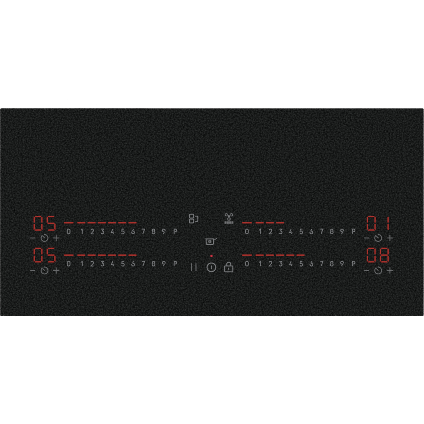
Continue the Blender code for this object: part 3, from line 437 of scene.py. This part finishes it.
def as_object(name, bm):
    """The bmesh, which is used up, as an object in the scene."""
    mesh = bpy.data.meshes.new(name)
    bm.to_mesh(mesh)
    bm.free()
    obj = bpy.data.objects.new(name, mesh)
    bpy.context.scene.collection.objects.link(obj)
    return obj


def join(bm, part):
    """Adds the bmesh part, which is used up, to bm."""
    mesh = bpy.data.meshes.new("part")
    part.to_mesh(mesh)
    part.free()
    bm.from_mesh(mesh)
    bpy.data.meshes.remove(mesh)


def shown(name, bm, material, body="hob", smooth=False):
    """The bmesh as a piece that rides on a body, with the export slot of its material."""
    bmesh.ops.recalc_face_normals(bm, faces=bm.faces)
    obj = as_object(name, bm)
    if smooth:
        obj.data.shade_smooth()
        obj.data.set_sharp_from_angle(angle=math.radians(35))
    obj.data.materials.append(material)
    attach(obj, body)
    return obj


def cut_away(body, cutter):
    """The body bmesh less the cutter bmesh."""
    for shape in (body, cutter):
        bmesh.ops.recalc_face_normals(shape, faces=shape.faces)
    kept, tool = as_object("body", body), as_object("cutter", cutter)
    modifier = kept.modifiers.new("cut", "BOOLEAN")
    modifier.solver = "EXACT"
    modifier.object = tool
    bpy.context.view_layer.update()
    graph = bpy.context.evaluated_depsgraph_get()
    result = bmesh.new()
    result.from_mesh(kept.evaluated_get(graph).to_mesh())
    for obj in (kept, tool):
        bpy.data.objects.remove(obj)
    return result


def lathe(profile, steps=32):
    """A closed turned shape about Z from (radius, height) points that start and end on the axis."""
    bm = bmesh.new()
    rings = []
    for radius, height in profile:
        if radius == 0:
            rings.append([bm.verts.new((0, 0, height))] * steps)
        else:
            angles = [2 * math.pi * i / steps for i in range(steps)]
            places = [(radius * math.cos(a), radius * math.sin(a), height) for a in angles]
            rings.append([bm.verts.new(place) for place in places])
    for near, far in zip(rings, rings[1:]):
        for i in range(steps):
            j = (i + 1) % steps
            corners = list(dict.fromkeys((near[i], near[j], far[j], far[i])))
            bm.faces.new(corners)
    return bm


def pointing(bm, place, out):
    """Turns the shape's +Z to the direction out and moves it to place."""
    bm.transform(Matrix.Translation(place) @ out.to_track_quat("Z", "Y").to_matrix().to_4x4())
    return bm


def screw(name, place, out, radius, height, shank, material):
    """A pan-head screw with a cross recess, its head standing on place."""
    r, h = radius, height
    head = [(0, h), (0.36 * r, 0.97 * h), (0.66 * r, 0.84 * h), (0.88 * r, 0.56 * h), (0.98 * r, 0.24 * h),
            (r, 0.08 * h), (0.98 * r, 0)]
    bm = lathe(head + [(0.52 * r, 0), (0.52 * r, -shank), (0, -shank - 0.5 * r)])
    diagonal = math.sqrt(2)
    for length, width in ((0.62 * r, 0.15 * r), (0.15 * r, 0.62 * r)):
        arm = bmesh.new()
        bmesh.ops.create_cone(arm, cap_ends=True, segments=4, radius1=0.35 * diagonal, radius2=diagonal,
                              depth=1.2 * h, matrix=Matrix.Rotation(math.radians(45), 4, "Z"))
        bmesh.ops.scale(arm, verts=arm.verts, vec=(length, width, 1))
        bmesh.ops.translate(arm, verts=arm.verts, vec=(0, 0, 0.95 * h))
        bm = cut_away(bm, arm)
    return shown(name, pointing(bm, place, out), material, smooth=True)


def add_bar(bm, x, y, z):
    """A bar with bevelled edges between the (low, high) pairs."""
    low, high = Vector((x[0], y[0], z[0])), Vector((x[1], y[1], z[1]))
    part = bmesh.new()
    place = Matrix.Translation((low + high) / 2) @ Matrix.Diagonal((*(high - low), 1))
    bmesh.ops.create_cube(part, size=1, matrix=place)
    bevel = min(high - low) * 0.3
    bmesh.ops.bevel(part, geom=part.edges[:], offset=bevel, segments=2, affect="EDGES", profile=0.5)
    join(bm, part)


def sweep(bm, route, half_width, half_height, sides=8):
    """A wire of oval section along the route, closed at both ends. Its UV is millimetres along and round."""
    layer = bm.loops.layers.uv.new("UVMap")
    up = Vector((1, 0, 0))
    rings, lengths, total = [], [], 0.0
    for i, point in enumerate(route):
        before, after = route[max(0, i - 1)], route[min(len(route) - 1, i + 1)]
        along = (after - before).normalized()
        up = (up - along * up.dot(along)).normalized()
        across = along.cross(up)
        if i:
            total += (point - route[i - 1]).length
        lengths.append(total / MM)
        ring = []
        for k in range(sides):
            a = 2 * math.pi * k / sides
            place = point + across * half_width * math.cos(a) + up * half_height * math.sin(a)
            ring.append(bm.verts.new(place))
        rings.append(ring)
    round_mm = 2 * math.pi * math.sqrt((half_width**2 + half_height**2) / 2) / MM
    for i in range(len(rings) - 1):
        for k in range(sides):
            j = (k + 1) % sides
            face = bm.faces.new((rings[i][k], rings[i][j], rings[i + 1][j], rings[i + 1][k]))
            places = ((lengths[i], k), (lengths[i], k + 1), (lengths[i + 1], k + 1), (lengths[i + 1], k))
            for loop, (length, turn) in zip(face.loops, places):
                loop[layer].uv = (length, turn / sides * round_mm)
    bm.faces.new(rings[0])
    bm.faces.new(rings[-1])


# --------------------------------------------------------------- marks on the glass

INK_BASE = GLASS_TOP + 0.01 * MM
INK_TOP = GLASS_TOP + 0.06 * MM

# From here on all is in millimetres, from the glass's centre. The right-hand slider repeats the left-hand
# one at SIDE_SHIFT. A row has the y of its bars and the y of its numerals.
SIDE_SHIFT = 336.4
ROWS = {"rear": (-19.9, -36.3), "front": (-81.0, -97.1)}
FIRST_BAR = (-270.3, 17.8)
BAR_X, BAR_PITCH, BAR_LENGTH, BAR_THICKNESS = -246.4, 19.3, 14.8, 2.1
LIT_BARS = {("left", "rear"): 7, ("left", "front"): 7, ("right", "rear"): 4, ("right", "front"): 6}
NUMERAL_XS = [-270.4, -245.3] + [-245.3 + BAR_PITCH * i for i in range(1, 9)] + [-69.1]
NUMERAL_HEIGHT, NUMERAL_WIDTH, NUMERAL_STROKE = 8.9, 5.2, 1.08

DIGIT_WIDTH, DIGIT_HEIGHT, DIGIT_STROKE = 14.4, 25.4, 2.0
DIGIT_XS = {"left": (-328.1, -303.5), "right": (300.6, 325.2)}
DIGIT_YS = {"rear": -20.9, "front": -80.9}
TIMES = {("left", "rear"): "05", ("left", "front"): "05", ("right", "rear"): "01", ("right", "front"): "08"}
SEGMENTS = {"0": "abcdef", "1": "bc", "5": "acdfg", "8": "abcdefg"}

KEY_YS = {"rear": -48.6, "front": -110.0}
KEY_XS = {"left": (-338.2, -315.9, -293.9), "right": (291.9, 313.7, 335.8)}
KEY_STROKE = 1.18
ICON_STROKE = 1.25


def add_plate(bm, corners, low=INK_BASE, high=INK_TOP):
    """A closed flat plate over an outline that runs anticlockwise, in millimetres."""
    bottom = [bm.verts.new((x * MM, y * MM, low)) for x, y in corners]
    top = [bm.verts.new((x * MM, y * MM, high)) for x, y in corners]
    bm.faces.new(reversed(bottom))
    bm.faces.new(top)
    for i in range(len(corners)):
        j = (i + 1) % len(corners)
        bm.faces.new((bottom[i], bottom[j], top[j], top[i]))


def arc(centre, radius, start, end, steps=None):
    """Points along an arc, its radius one number or (x, y), and its angles in degrees."""
    rx, ry = radius if isinstance(radius, tuple) else (radius, radius)
    steps = steps or max(3, round(abs(end - start) / 18))
    angles = [math.radians(start + (end - start) * i / steps) for i in range(steps + 1)]
    return [(centre[0] + rx * math.cos(a), centre[1] + ry * math.sin(a)) for a in angles]


def rounded(x, y, radius):
    """A rectangle between the (low, high) pairs with rounded corners, anticlockwise."""
    points = []
    for cx, cy, start in ((x[1], y[1], 0), (x[0], y[1], 90), (x[0], y[0], 180), (x[1], y[0], 270)):
        inwards_x = math.copysign(radius, cx - sum(x) / 2)
        inwards_y = math.copysign(radius, cy - sum(y) / 2)
        centre = (cx - inwards_x, cy - inwards_y)
        points += arc(centre, radius, start, start + 90, 4)
    return points


def add_stroke(bm, points, width, closed=False, levels=(INK_BASE, INK_TOP)):
    """A pen stroke of even width along the points, as one closed flat plate with mitred turns."""
    points = [Vector(p) for p in points]
    if closed and (points[0] - points[-1]).length < 1e-6:
        points.pop()
    count = len(points)
    sides = []
    for i, point in enumerate(points):
        before = points[i - 1] if closed or i > 0 else None
        after = points[(i + 1) % count] if closed or i < count - 1 else None
        ways = []
        if before is not None:
            ways.append((point - before).normalized())
        if after is not None:
            ways.append((after - point).normalized())
        along = (ways[0] + ways[-1]).normalized()
        across = Vector((-along.y, along.x))
        stretch = 1 / max(0.5, across.dot(Vector((-ways[0].y, ways[0].x))))
        offset = across * width / 2 * stretch
        sides.append((point + offset, point - offset))
    rows = [[bm.verts.new((p.x * MM, p.y * MM, z)) for p in pair for z in levels] for pair in sides]
    last = count if closed else count - 1
    for i in range(last):
        left_low, left_top, right_low, right_top = rows[i]
        next_left_low, next_left_top, next_right_low, next_right_top = rows[(i + 1) % count]
        bm.faces.new((left_top, right_top, next_right_top, next_left_top))
        bm.faces.new((left_low, next_left_low, next_right_low, right_low))
        bm.faces.new((left_low, left_top, next_left_top, next_left_low))
        bm.faces.new((right_low, next_right_low, next_right_top, right_top))
    if not closed:
        for row, turned in ((rows[0], False), (rows[-1], True)):
            face = (row[0], row[2], row[3], row[1])
            bm.faces.new(reversed(face) if turned else face)


def numeral_strokes(sign):
    """The (points, closed) pen strokes of one numeral, in millimetres from its lower left corner."""
    w, h = NUMERAL_WIDTH, NUMERAL_HEIGHT
    mid, low_r, up_r = w / 2, 0.29 * h, 0.23 * h
    low, high, up = (mid, low_r), (mid, h - low_r), (mid, h - up_r)
    bowl = (mid, low_r)
    shapes = {
        "0": [(arc((mid, h - mid), mid, 0, 180, 8) + arc((mid, mid), mid, 180, 360, 8), True)],
        "1": [([(0.12 * w, 0.76 * h), (0.62 * w, h), (0.62 * w, 0)], False)],
        "2": [(arc(high, (mid * 0.95, low_r), 165, -38, 9) + [(0.02 * w, 0), (w, 0)], False)],
        "3": [([(0.06 * w, h), (0.92 * w, h), (0.46 * w, 0.62 * h)] + arc(low, bowl, 80, -150, 9), False)],
        "4": [
            ([(0.56 * w, h), (0.02 * w, 0.26 * h), (w, 0.26 * h)], False),
            ([(0.74 * w, 0.46 * h), (0.74 * w, 0)], False),
        ],
        "5": [
            ([(0.92 * w, h), (0.2 * w, h), (0.12 * w, 0.5 * h)]
             + arc(low, (mid, 0.31 * h), 115, -150, 10), False),
        ],
        "6": [(arc(low, bowl, 145, 505, 16), True), ([(0.66 * w, h), (0.09 * w, 0.40 * h)], False)],
        "7": [([(0.02 * w, h), (0.98 * w, h), (0.34 * w, 0)], False)],
        "8": [(arc(low, bowl, 0, 360, 16), True), (arc(up, (mid * 0.86, up_r), 0, 360, 14), True)],
        "9": [(arc(high, bowl, 0, 360, 16), True), ([(0.91 * w, 0.60 * h), (0.34 * w, 0)], False)],
        "P": [
            ([(0.08 * w, 0), (0.08 * w, h), (0.5 * w, h)]
             + arc((0.52 * w, 0.72 * h), (0.46 * w, 0.28 * h), 90, -90, 8) + [(0.08 * w, 0.44 * h)], False),
        ],
    }
    return shapes[sign]


def slider_numerals(ink):
    """The scale 0 to 9 and P under each slider."""
    for side, shift in (("left", 0), ("right", SIDE_SHIFT)):
        for row, (_, y) in ROWS.items():
            bm = bmesh.new()
            for sign, x in zip("0123456789P", NUMERAL_XS):
                corner = (x + shift - NUMERAL_WIDTH / 2, y - NUMERAL_HEIGHT / 2)
                for points, closed in numeral_strokes(sign):
                    moved = [(px + corner[0], py + corner[1]) for px, py in points]
                    add_stroke(bm, moved, NUMERAL_STROKE, closed)
            shown(f"scale_{side}_{row}", bm, ink)


def slider_bars(light):
    """One lit bar for each step of the chosen heat."""
    half = BAR_THICKNESS / 2
    bevel = 0.35 * half
    for (side, row), lit in LIT_BARS.items():
        shift = SIDE_SHIFT if side == "right" else 0
        y = ROWS[row][0]
        bars = [FIRST_BAR] + [(BAR_X + i * BAR_PITCH, BAR_LENGTH) for i in range(lit - 1)]
        bm = bmesh.new()
        for x, length in bars:
            left, right = x + shift - length / 2, x + shift + length / 2
            add_plate(bm, [
                (left, y - half + bevel), (left + bevel, y - half),
                (right - bevel, y - half), (right, y - half + bevel),
                (right, y + half - bevel), (right - bevel, y + half),
                (left + bevel, y + half), (left, y + half - bevel),
            ])
        shown(f"lit_bars_{side}_{row}", bm, light)


def segment_outline(name, cx, cy):
    """The outline of one of a digit's seven bars, with slanted ends."""
    w, h, t = DIGIT_WIDTH / 2, DIGIT_HEIGHT / 2, DIGIT_STROKE / 2
    gap, slant = 0.55, 0.9 * DIGIT_STROKE / 2
    level = {"a": h, "g": 0, "d": -h}
    if name in level:
        x0, x1, y = cx - w + gap + slant, cx + w - gap - slant, cy + level[name]
        if name == "g":
            return [(x0 - t, y), (x0, y - t), (x1, y - t), (x1 + t, y), (x1, y + t), (x0, y + t)]
        out, into = (t, -t) if name == "a" else (-t, t)
        corners = [
            (x0 - t * 0.6, y + out), (x0 + t * 0.9, y + into),
            (x1 - t * 0.9, y + into), (x1 + t * 0.6, y + out),
        ]
        return corners if name == "a" else corners[::-1]
    x = cx + (w if name in "bc" else -w)
    outer, inner = (x + t, x - t) if name in "bc" else (x - t, x + t)
    up = 1 if name in "bf" else -1
    near, far = cy + up * (gap + 0.5), cy + up * (h - gap)
    corners = [
        (outer, near + up * 0.5), (inner, near + up * 0.5),
        (inner, far - up * t * 0.9), (outer, far + up * 0.1),
    ]
    turns = (up > 0) == (name in "bc")
    return corners[::-1] if turns else corners


def timer_digits(light):
    """The two-digit timer at the end of each slider."""
    for (side, row), shown_time in TIMES.items():
        bm = bmesh.new()
        for sign, x in zip(shown_time, DIGIT_XS[side]):
            for name in SEGMENTS[sign]:
                add_plate(bm, segment_outline(name, x, DIGIT_YS[row]))
        shown(f"timer_digits_{side}_{row}", bm, light)


def icon(name, strokes, ink):
    """One printed icon of (points, width, closed) strokes."""
    bm = bmesh.new()
    for points, width, closed in strokes:
        add_stroke(bm, points, width, closed)
    shown(name, bm, ink)


def timer_keys(ink):
    """Minus, timer and plus under each display."""
    for side, xs in KEY_XS.items():
        for row, y in KEY_YS.items():
            minus, clock, plus = xs
            ring = arc((clock, y), 6.5, 128, 450, 20)
            strokes = [
                ([(minus - 4.5, y), (minus + 4.5, y)], KEY_STROKE, False),
                (ring + [(clock + 0.2, y + 7.6)], KEY_STROKE, False),
                ([(clock - 3.6, y + 3.8), (clock + 0.3, y - 0.1)], KEY_STROKE, False),
                ([(plus - 5.7, y), (plus + 5.7, y)], KEY_STROKE, False),
                ([(plus, y - 5.7), (plus, y - KEY_STROKE / 2)], KEY_STROKE, False),
                ([(plus, y + KEY_STROKE / 2), (plus, y + 5.7)], KEY_STROKE, False),
            ]
            icon(f"timer_keys_{side}_{row}", strokes, ink)


def bridge_key(ink):
    """Two zones in a column and the link that joins them."""
    icon("bridge_key", [
        (rounded((-42.3, -34.4), (-11.0, -3.8), 1.4), ICON_STROKE, True),
        (rounded((-42.3, -34.4), (-20.2, -13.0), 1.4), ICON_STROKE, True),
        ([(-31.4, -7.6), (-27.0, -7.6)] + arc((-28.6, -9.6), 2.0, 60, 0, 3) + [(-26.6, -14.6)]
         + arc((-29.2, -15.4), 2.6, 0, -70, 4) + [(-31.6, -18.0)], ICON_STROKE, False),
    ], ink)


def fan_key(ink, dot_ink):
    """Two upper blades, the hub and a lower blade, over a row of four dots."""
    x = 32.1
    sides = (-1, 1)
    fan = [(arc((x + side * 4.7, -4.9), (2.6, 2.2), 0, 360, 14), 0.95, True) for side in sides]
    fan.append((arc((x, -12.8), (2.5, 2.4), 0, 360, 14), 1.0, True))
    fan.append((arc((x, -7.4), 1.0, 0, 360, 10), 1.7, True))
    fan += [([(x + side * 1.0, -7.0), (x + side * 3.0, -6.2)], 1.2, False) for side in sides]
    fan.append(([(x, -8.6), (x, -10.6)], 1.7, False))
    icon("fan_key", fan, ink)
    dots_y, dot_length, dot_pitch, dot_width = -19.5, 3.4, 4.3, 4.2
    starts = [24.0 + dot_pitch * i for i in range(4)]
    dots = [([(start, dots_y), (start + dot_length, dots_y)], dot_width, False) for start in starts]
    icon("fan_key_dots", dots, dot_ink)


def pot_key(ink):
    """A pan in profile, with its rim, its handle and a turn of steam inside."""
    side_wall = [(-10.9, -50.9)] + arc((-8.9, -59.0), 2.0, 180, 270, 4)
    icon("pot_key", [
        (side_wall + arc((0.9, -59.0), 2.0, 270, 360, 4) + [(2.9, -50.9)], ICON_STROKE, False),
        ([(-12.2, -50.4), (4.2, -50.4)], ICON_STROKE, False),
        ([(4.4, -52.0), (6.4, -51.2), (9.8, -49.0)], 0.9, False),
        (arc((-3.9, -55.2), (2.9, 2.0), 40, 330, 12), 0.75, False),
        ([(-4.6, -55.4), (-1.2, -55.4)], 0.75, False),
    ], ink)


def pause_power_lock(ink, pause_ink, light):
    """The bottom row of keys, and the light over the power key."""
    pause = [([(x, -111.0), (x, -96.4)], width, False) for x, width in ((-38.5, 1.2), (-30.1, 1.4))]
    icon("pause_key", pause, pause_ink)
    icon("power_key", [
        (arc((-1.0, -104.0), 8.2, 0, 360, 32), 1.38, True),
        ([(-1.0, -107.2), (-1.0, -100.8)], 1.3, False),
    ], ink)
    shackle = [(27.9, -100.6), (27.9, -98.4)] + arc((31.7, -98.2), 3.8, 180, 0, 10) + [(35.5, -100.6)]
    icon("lock_key", [
        (rounded((24.0, 39.4), (-112.5, -101.4), 1.2), ICON_STROKE, True),
        (shackle, ICON_STROKE, False),
        ([(31.7, -108.4), (31.7, -105.0)], 1.3, False),
    ], ink)
    bm = bmesh.new()
    add_plate(bm, arc((-0.9, -82.5), 2.05, 0, 342, 19))
    shown("power_light", bm, light)


# --------------------------------------------------------------- casing details


def casing_screws(metal):
    """The screws through the rails, with domed heads and cross recesses, in place of the plain ones."""
    for end, side_y in (("front", -1), ("rear", 1)):
        for side in ("left", "right"):
            node = f"casing_screw_{end}_{side}"
            low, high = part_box(node)
            centre = (low + high) / 2
            head = (high.x - low.x) / 2
            outer = high.y if side_y > 0 else low.y
            out = Vector((0, side_y, 0))
            height = 2 * MM
            place = Vector((centre.x, outer - side_y * height, centre.z))
            piece = screw(f"screw_{end}_{side}", place, out, head, height, 6 * MM, metal)
            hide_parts(node)


def terminal_screws(metal):
    """Small screws that hold the terminal box's bezel to the rear wall."""
    low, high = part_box("terminal_box")
    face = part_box("cable_grommet")[1].y - 1.9 * MM
    edge, drop = 2.3 * MM, 2.6 * MM
    left, right, top = low.x + edge, high.x - edge, high.z - drop
    places = [(left, top), (right, top), (right, low.z + drop)]
    for number, (x, z) in enumerate(places, start=1):
        place = Vector((x, face + 0.02 * MM, z))
        screw(f"bezel_screw_{number}", place, Vector((0, 1, 0)), 1.7 * MM, 1.0 * MM, 1.5 * MM, metal)


def terminal_clamps(brass, metal):
    """A brass cage in each wire pocket of the terminal block, with its screw on top."""
    low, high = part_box("terminal_block")
    pole = 12 * MM
    barrier_rise = 2 * MM
    pocket_z, pocket_y = (8.5 * MM, 14.7 * MM), (high.y - 8.6 * MM, high.y - 3.2 * MM)
    wall = 0.9 * MM
    bm = bmesh.new()
    half = 3.1 * MM
    for i in range(6):
        x = (i - 2.5) * pole
        add_bar(bm, (x - half, x + half), pocket_y, (pocket_z[0], pocket_z[0] + wall))
        add_bar(bm, (x - half, x + half), pocket_y, (pocket_z[1] - wall, pocket_z[1]))
        for side in (-1, 1):
            edge = sorted((x + side * half, x + side * (half - wall)))
            add_bar(bm, edge, pocket_y, (pocket_z[0] + 0.05 * MM, pocket_z[1] - 0.05 * MM))
        place = Vector((x, (low.y + high.y) / 2 - 2 * MM, high.z - barrier_rise + 0.02 * MM))
        screw(f"terminal_screw_{i + 1}", place, Vector((0, 0, 1)), 2.7 * MM, 1.5 * MM, 1.5 * MM, metal)
    shown("terminal_cages", bm, brass)


def spot_welds(metal):
    """Rows of weld marks down both ends of the front and rear walls: a ring round a shallow pit."""
    low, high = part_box("casing_pan")
    r = 2.4 * MM
    pit, ring, buried = 0.07 * MM, 0.24 * MM, -0.3 * MM
    profile = [(0, 0.06 * MM), (0.5 * r, pit), (0.72 * r, ring), (0.86 * r, ring), (r, 0.02 * MM),
               (r, buried), (0, buried)]
    joined = bmesh.new()
    for wall, out in ((low.y, -1), (high.y, 1)):
        for x in (low.x + 6 * MM, high.x - 6 * MM):
            for z in (9 * MM, 20 * MM, 31 * MM):
                join(joined, pointing(lathe(profile, 20), Vector((x, wall, z)), Vector((0, out, 0))))
    shown("spot_welds", joined, metal, smooth=True)


def rating_plate():
    """A blank foil plate with a printed border and rules, in the recess under the casing."""
    foil = label_foil()
    half_x, middle_y, half_y = 50.0, -95.0, 26.0
    top, bottom = 1.48 * MM, 1.30 * MM
    bm = bmesh.new()
    outline = rounded((-half_x, half_x), (middle_y - half_y, middle_y + half_y), 3.0)
    add_plate(bm, outline, bottom, top)
    shown("rating_plate", bm, foil)
    levels = (bottom - 0.05 * MM, bottom - 0.01 * MM)
    border_x, border_y = half_x - 2.5, half_y - 2.5
    bm = bmesh.new()
    border = rounded((-border_x, border_x), (middle_y - border_y, middle_y + border_y), 2.0)
    add_stroke(bm, border, 0.5, True, levels)
    rule_x, rule_pitch = half_x - 4.0, 13.0
    for step in (-1, 0, 1):
        y = middle_y + step * rule_pitch
        add_stroke(bm, [(-rule_x, y), (rule_x, y)], 0.4, False, levels)
    shown("rating_plate_border", bm, rubber("plate_ink", (0.02, 0.02, 0.022)))


def lid_grip(plastic):
    """Moulded ribs on the terminal lid's pull tab."""
    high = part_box("terminal_lid")[1]
    bm = bmesh.new()
    across, tall = (high.y - 0.3 * MM, high.y + 0.35 * MM), (high.z - 1.6 * MM, high.z - 0.2 * MM)
    half = 0.3 * MM
    for i in range(-5, 6):
        x = i * 1.3 * MM
        add_bar(bm, (x - half, x + half), across, tall)
    shown("lid_grip", bm, plastic, "terminal_lid")


# --------------------------------------------------------------- coils and their springs

# The spiral stops STEPS_SHORT of its last turn, where the lead leaves it.
WIRE_TURNS = 20
TURN_STEPS = 36
STEPS_SHORT = 4
BEND_STEPS = 5
BEND_RADIUS = 3 * MM
SPIRAL_INNER = 21.5 * MM
WIRE_HALF_WIDTH, WIRE_HALF_HEIGHT = 1.36 * MM, 2.05 * MM


def winding_route(low, high):
    """The wire's middle line: up through the carrier's bore, out in a flat spiral, and down at the rim."""
    bore_r, lead_r = 9.4 * MM, 10.2 * MM
    outer = (high.x - low.x) / 2 - 1.5 * MM
    rise = 10.5 * MM
    route = [Vector((bore_r, 0, -rise + i * 1.6 * MM)) for i in range(5)]
    bends = [math.radians(90 * i / BEND_STEPS) for i in range(1, BEND_STEPS + 1)]
    for a in bends:
        height = -BEND_RADIUS + BEND_RADIUS * math.sin(a)
        route.append(Vector((bore_r, BEND_RADIUS * (1 - math.cos(a)), height)))
    lead_steps, lead_from, lead_turn = 10, 22, 150
    for i in range(1, lead_steps + 1):
        a = math.radians(lead_from + lead_turn * i / lead_steps)
        r = lead_r + (SPIRAL_INNER - lead_r) * i / lead_steps
        route.append(Vector((r * math.cos(a), r * math.sin(a), 0)))
    start = math.radians(lead_from + lead_turn)
    count = WIRE_TURNS * TURN_STEPS - STEPS_SHORT
    for i in range(1, count + 1):
        a = start + 2 * math.pi * i / TURN_STEPS
        r = SPIRAL_INNER + (outer - SPIRAL_INNER) * i / count
        route.append(Vector((r * math.cos(a), r * math.sin(a), 0)))
    end, before = route[-1], route[-2]
    along = (end - before).normalized()
    outwards = Vector((end.x, end.y, 0)).normalized()
    leave = (along + outwards * 0.9).normalized()
    point = end
    for _ in range(3):
        point = point + leave * 2.0 * MM
        route.append(point)
    for a in bends:
        drop = -BEND_RADIUS * (1 - math.cos(a))
        route.append(point + leave * BEND_RADIUS * math.sin(a) + Vector((0, 0, drop)))
    point = route[-1]
    for i in range(1, 4):
        route.append(point + Vector((0, 0, -1.8 * MM * i)))
    centre = (low + high) / 2
    return [centre + p for p in route]


def coil_windings(copper, metal):
    """A flat spiral of stranded copper for each zone, with tinned ends."""
    r, length = 2.5 * MM, 6 * MM
    sleeve = [(0, 0), (0.8 * r, 0), (r, 0.6 * MM), (r, 5.4 * MM), (0.9 * r, length), (0, length)]
    for number in ZONES:
        node, body = f"coil_winding_{number}", f"coil_unit_{number}"
        route = winding_route(*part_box(node))
        bm = bmesh.new()
        sweep(bm, route, WIRE_HALF_WIDTH, WIRE_HALF_HEIGHT)
        piece = shown(f"coil_spiral_{number}", bm, copper, body, smooth=True)
        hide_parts(node)
        for end, place in (("inner", route[0]), ("outer", route[-1])):
            foot = Vector((place.x, place.y, place.z - 3.2 * MM))
            tip = pointing(lathe(sleeve, 20), foot, Vector((0, 0, 1)))
            shown(f"coil_ferrule_{end}_{number}", tip, metal, body, smooth=True)


def wave_springs(metal):
    """The sprung ring of wire under each coil unit."""
    wire_r, ring_r, waves, steps = 0.6 * MM, 50 * MM, 4, 120
    for number in ZONES:
        node = f"coil_spring_{number}"
        low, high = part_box(node)
        centre = (low + high) / 2
        swing = (high.z - low.z) / 2 - wire_r
        route = []
        for i in range(steps):
            a = 2 * math.pi * i / steps
            rise = swing * math.cos(waves * (a - math.radians(22.5)))
            route.append(centre + Vector((ring_r * math.cos(a), ring_r * math.sin(a), rise)))
        bm = bmesh.new()
        sweep(bm, route, wire_r, wire_r)
        spring = shown(f"wave_spring_{number}", bm, metal, "hob", smooth=True)
        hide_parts(node)
        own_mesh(spring)


# --------------------------------------------------------------- stage, light and camera

FLOOR_RADIUS = 9
FLOOR_GAP = 0.5 * MM
FLOOR_GLOW = 0.70
# The sky's brightness at each height, from the horizon at 0 to overhead at 1.
SKY = ((0.0, 1.0), (0.07, 0.72), (0.25, 0.68), (0.55, 0.45), (0.85, 0.06), (1.0, 0.03))
# Name, place, side in metres and power in watts.
SOFTBOXES = (
    ("key_light", (-1.7, -1.3, 1.9), 1.2, 34),
    ("fill_light", (1.9, -0.9, 1.6), 1.4, 20),
    ("back_light", (0.4, 2.2, 1.7), 1.4, 24),
)
CAMERA_MARGIN = 1.0001
CAMERA_OFFSET = Vector((0.12 * MM, 0.40 * MM, 0))


def stage():
    """A plain white floor, which glows a little so that it stays white right up to the glass."""
    bm = bmesh.new()
    bmesh.ops.create_circle(bm, cap_ends=True, segments=96, radius=FLOOR_RADIUS)
    bmesh.ops.translate(bm, verts=bm.verts, vec=(0, 0, -FLOOR_GAP))
    floor = as_object("floor", bm)
    s = Shader("floor", (0.8, 0.8, 0.8), 0.9)
    s.main.inputs["Emission Color"].default_value = (1, 1, 1, 1)
    s.main.inputs["Emission Strength"].default_value = FLOOR_GLOW
    floor.data.materials.append(s.material)


def world():
    """A studio that is white at the horizon and dark overhead, so that the glass stays black from above."""
    made = bpy.data.worlds.new("studio")
    made.use_nodes = True
    tree = made.node_tree
    background = tree.nodes["Background"]
    place = tree.nodes.new("ShaderNodeTexCoord")
    split = tree.nodes.new("ShaderNodeSeparateXYZ")
    ramp = tree.nodes.new("ShaderNodeValToRGB")
    tree.links.new(place.outputs["Generated"], split.inputs["Vector"])
    tree.links.new(split.outputs["Z"], ramp.inputs["Fac"])
    tree.links.new(ramp.outputs["Color"], background.inputs["Color"])
    elements = ramp.color_ramp.elements
    while len(elements) < len(SKY):
        elements.new(0.5)
    for element, (height, light) in zip(elements, SKY):
        element.position = height
        element.color = (light, light, light, 1)
    bpy.context.scene.world = made


def softbox(name, place, size, power):
    """A square area light that looks at the hob."""
    data = bpy.data.lights.new(name, "AREA")
    data.shape = "SQUARE"
    data.size = size
    data.energy = power
    light = bpy.data.objects.new(name, data)
    bpy.context.scene.collection.objects.link(light)
    light.location = place
    light.rotation_euler = (Vector(place) - GLASS_CENTRE).to_track_quat("Z", "Y").to_euler()


def camera():
    """Straight above the glass, which spans the picture's width."""
    data = bpy.data.cameras.new("camera")
    data.lens, data.sensor_width = 85, 36
    picture_width = GLASS_WIDTH * CAMERA_MARGIN
    cam = bpy.data.objects.new("camera", data)
    bpy.context.scene.collection.objects.link(cam)
    centre = GLASS_CENTRE + CAMERA_OFFSET
    cam.location = (centre.x, centre.y, GLASS_TOP + picture_width * data.lens / data.sensor_width)
    data.clip_start, data.clip_end = 0.01, 50
    bpy.context.scene.camera = cam


def picture():
    """Plain colours, and pixels as crisp as the photograph's."""
    scene = bpy.context.scene
    scene.view_settings.view_transform = "Standard"
    scene.cycles.use_denoising = False
    scene.cycles.filter_width = 0.85


# --------------------------------------------------------------- the whole hob

materials = finish_cad_nodes()
steel = materials["screw_steel"]
ink = printed_mark("printed_mark", MARK_GREY)
key_ink = printed_mark("printed_key", KEY_GREY)
light = lit_segment("lit_segment", LED_RED)
power_red = lit_segment("lit_power", POWER_RED)
slider_numerals(ink)
slider_bars(light)
timer_digits(light)
timer_keys(key_ink)
bridge_key(ink)
fan_key(ink, key_ink)
pot_key(ink)
pause_power_lock(ink, key_ink, power_red)
casing_screws(steel)
terminal_screws(steel)
spot_welds(materials["zinc_steel"])
rating_plate()
lid_grip(materials["grey_plastic"])
brass = brushed("brass", (0.80, 0.62, 0.28), (0.58, 0.42, 0.17), 0.3, (8, 1, 8))
terminal_clamps(brass, steel)
coil_windings(materials["copper_litz"], steel)
wave_springs(materials["spring_steel"])
stage()
world()
for settings in SOFTBOXES:
    softbox(*settings)
camera()
picture()
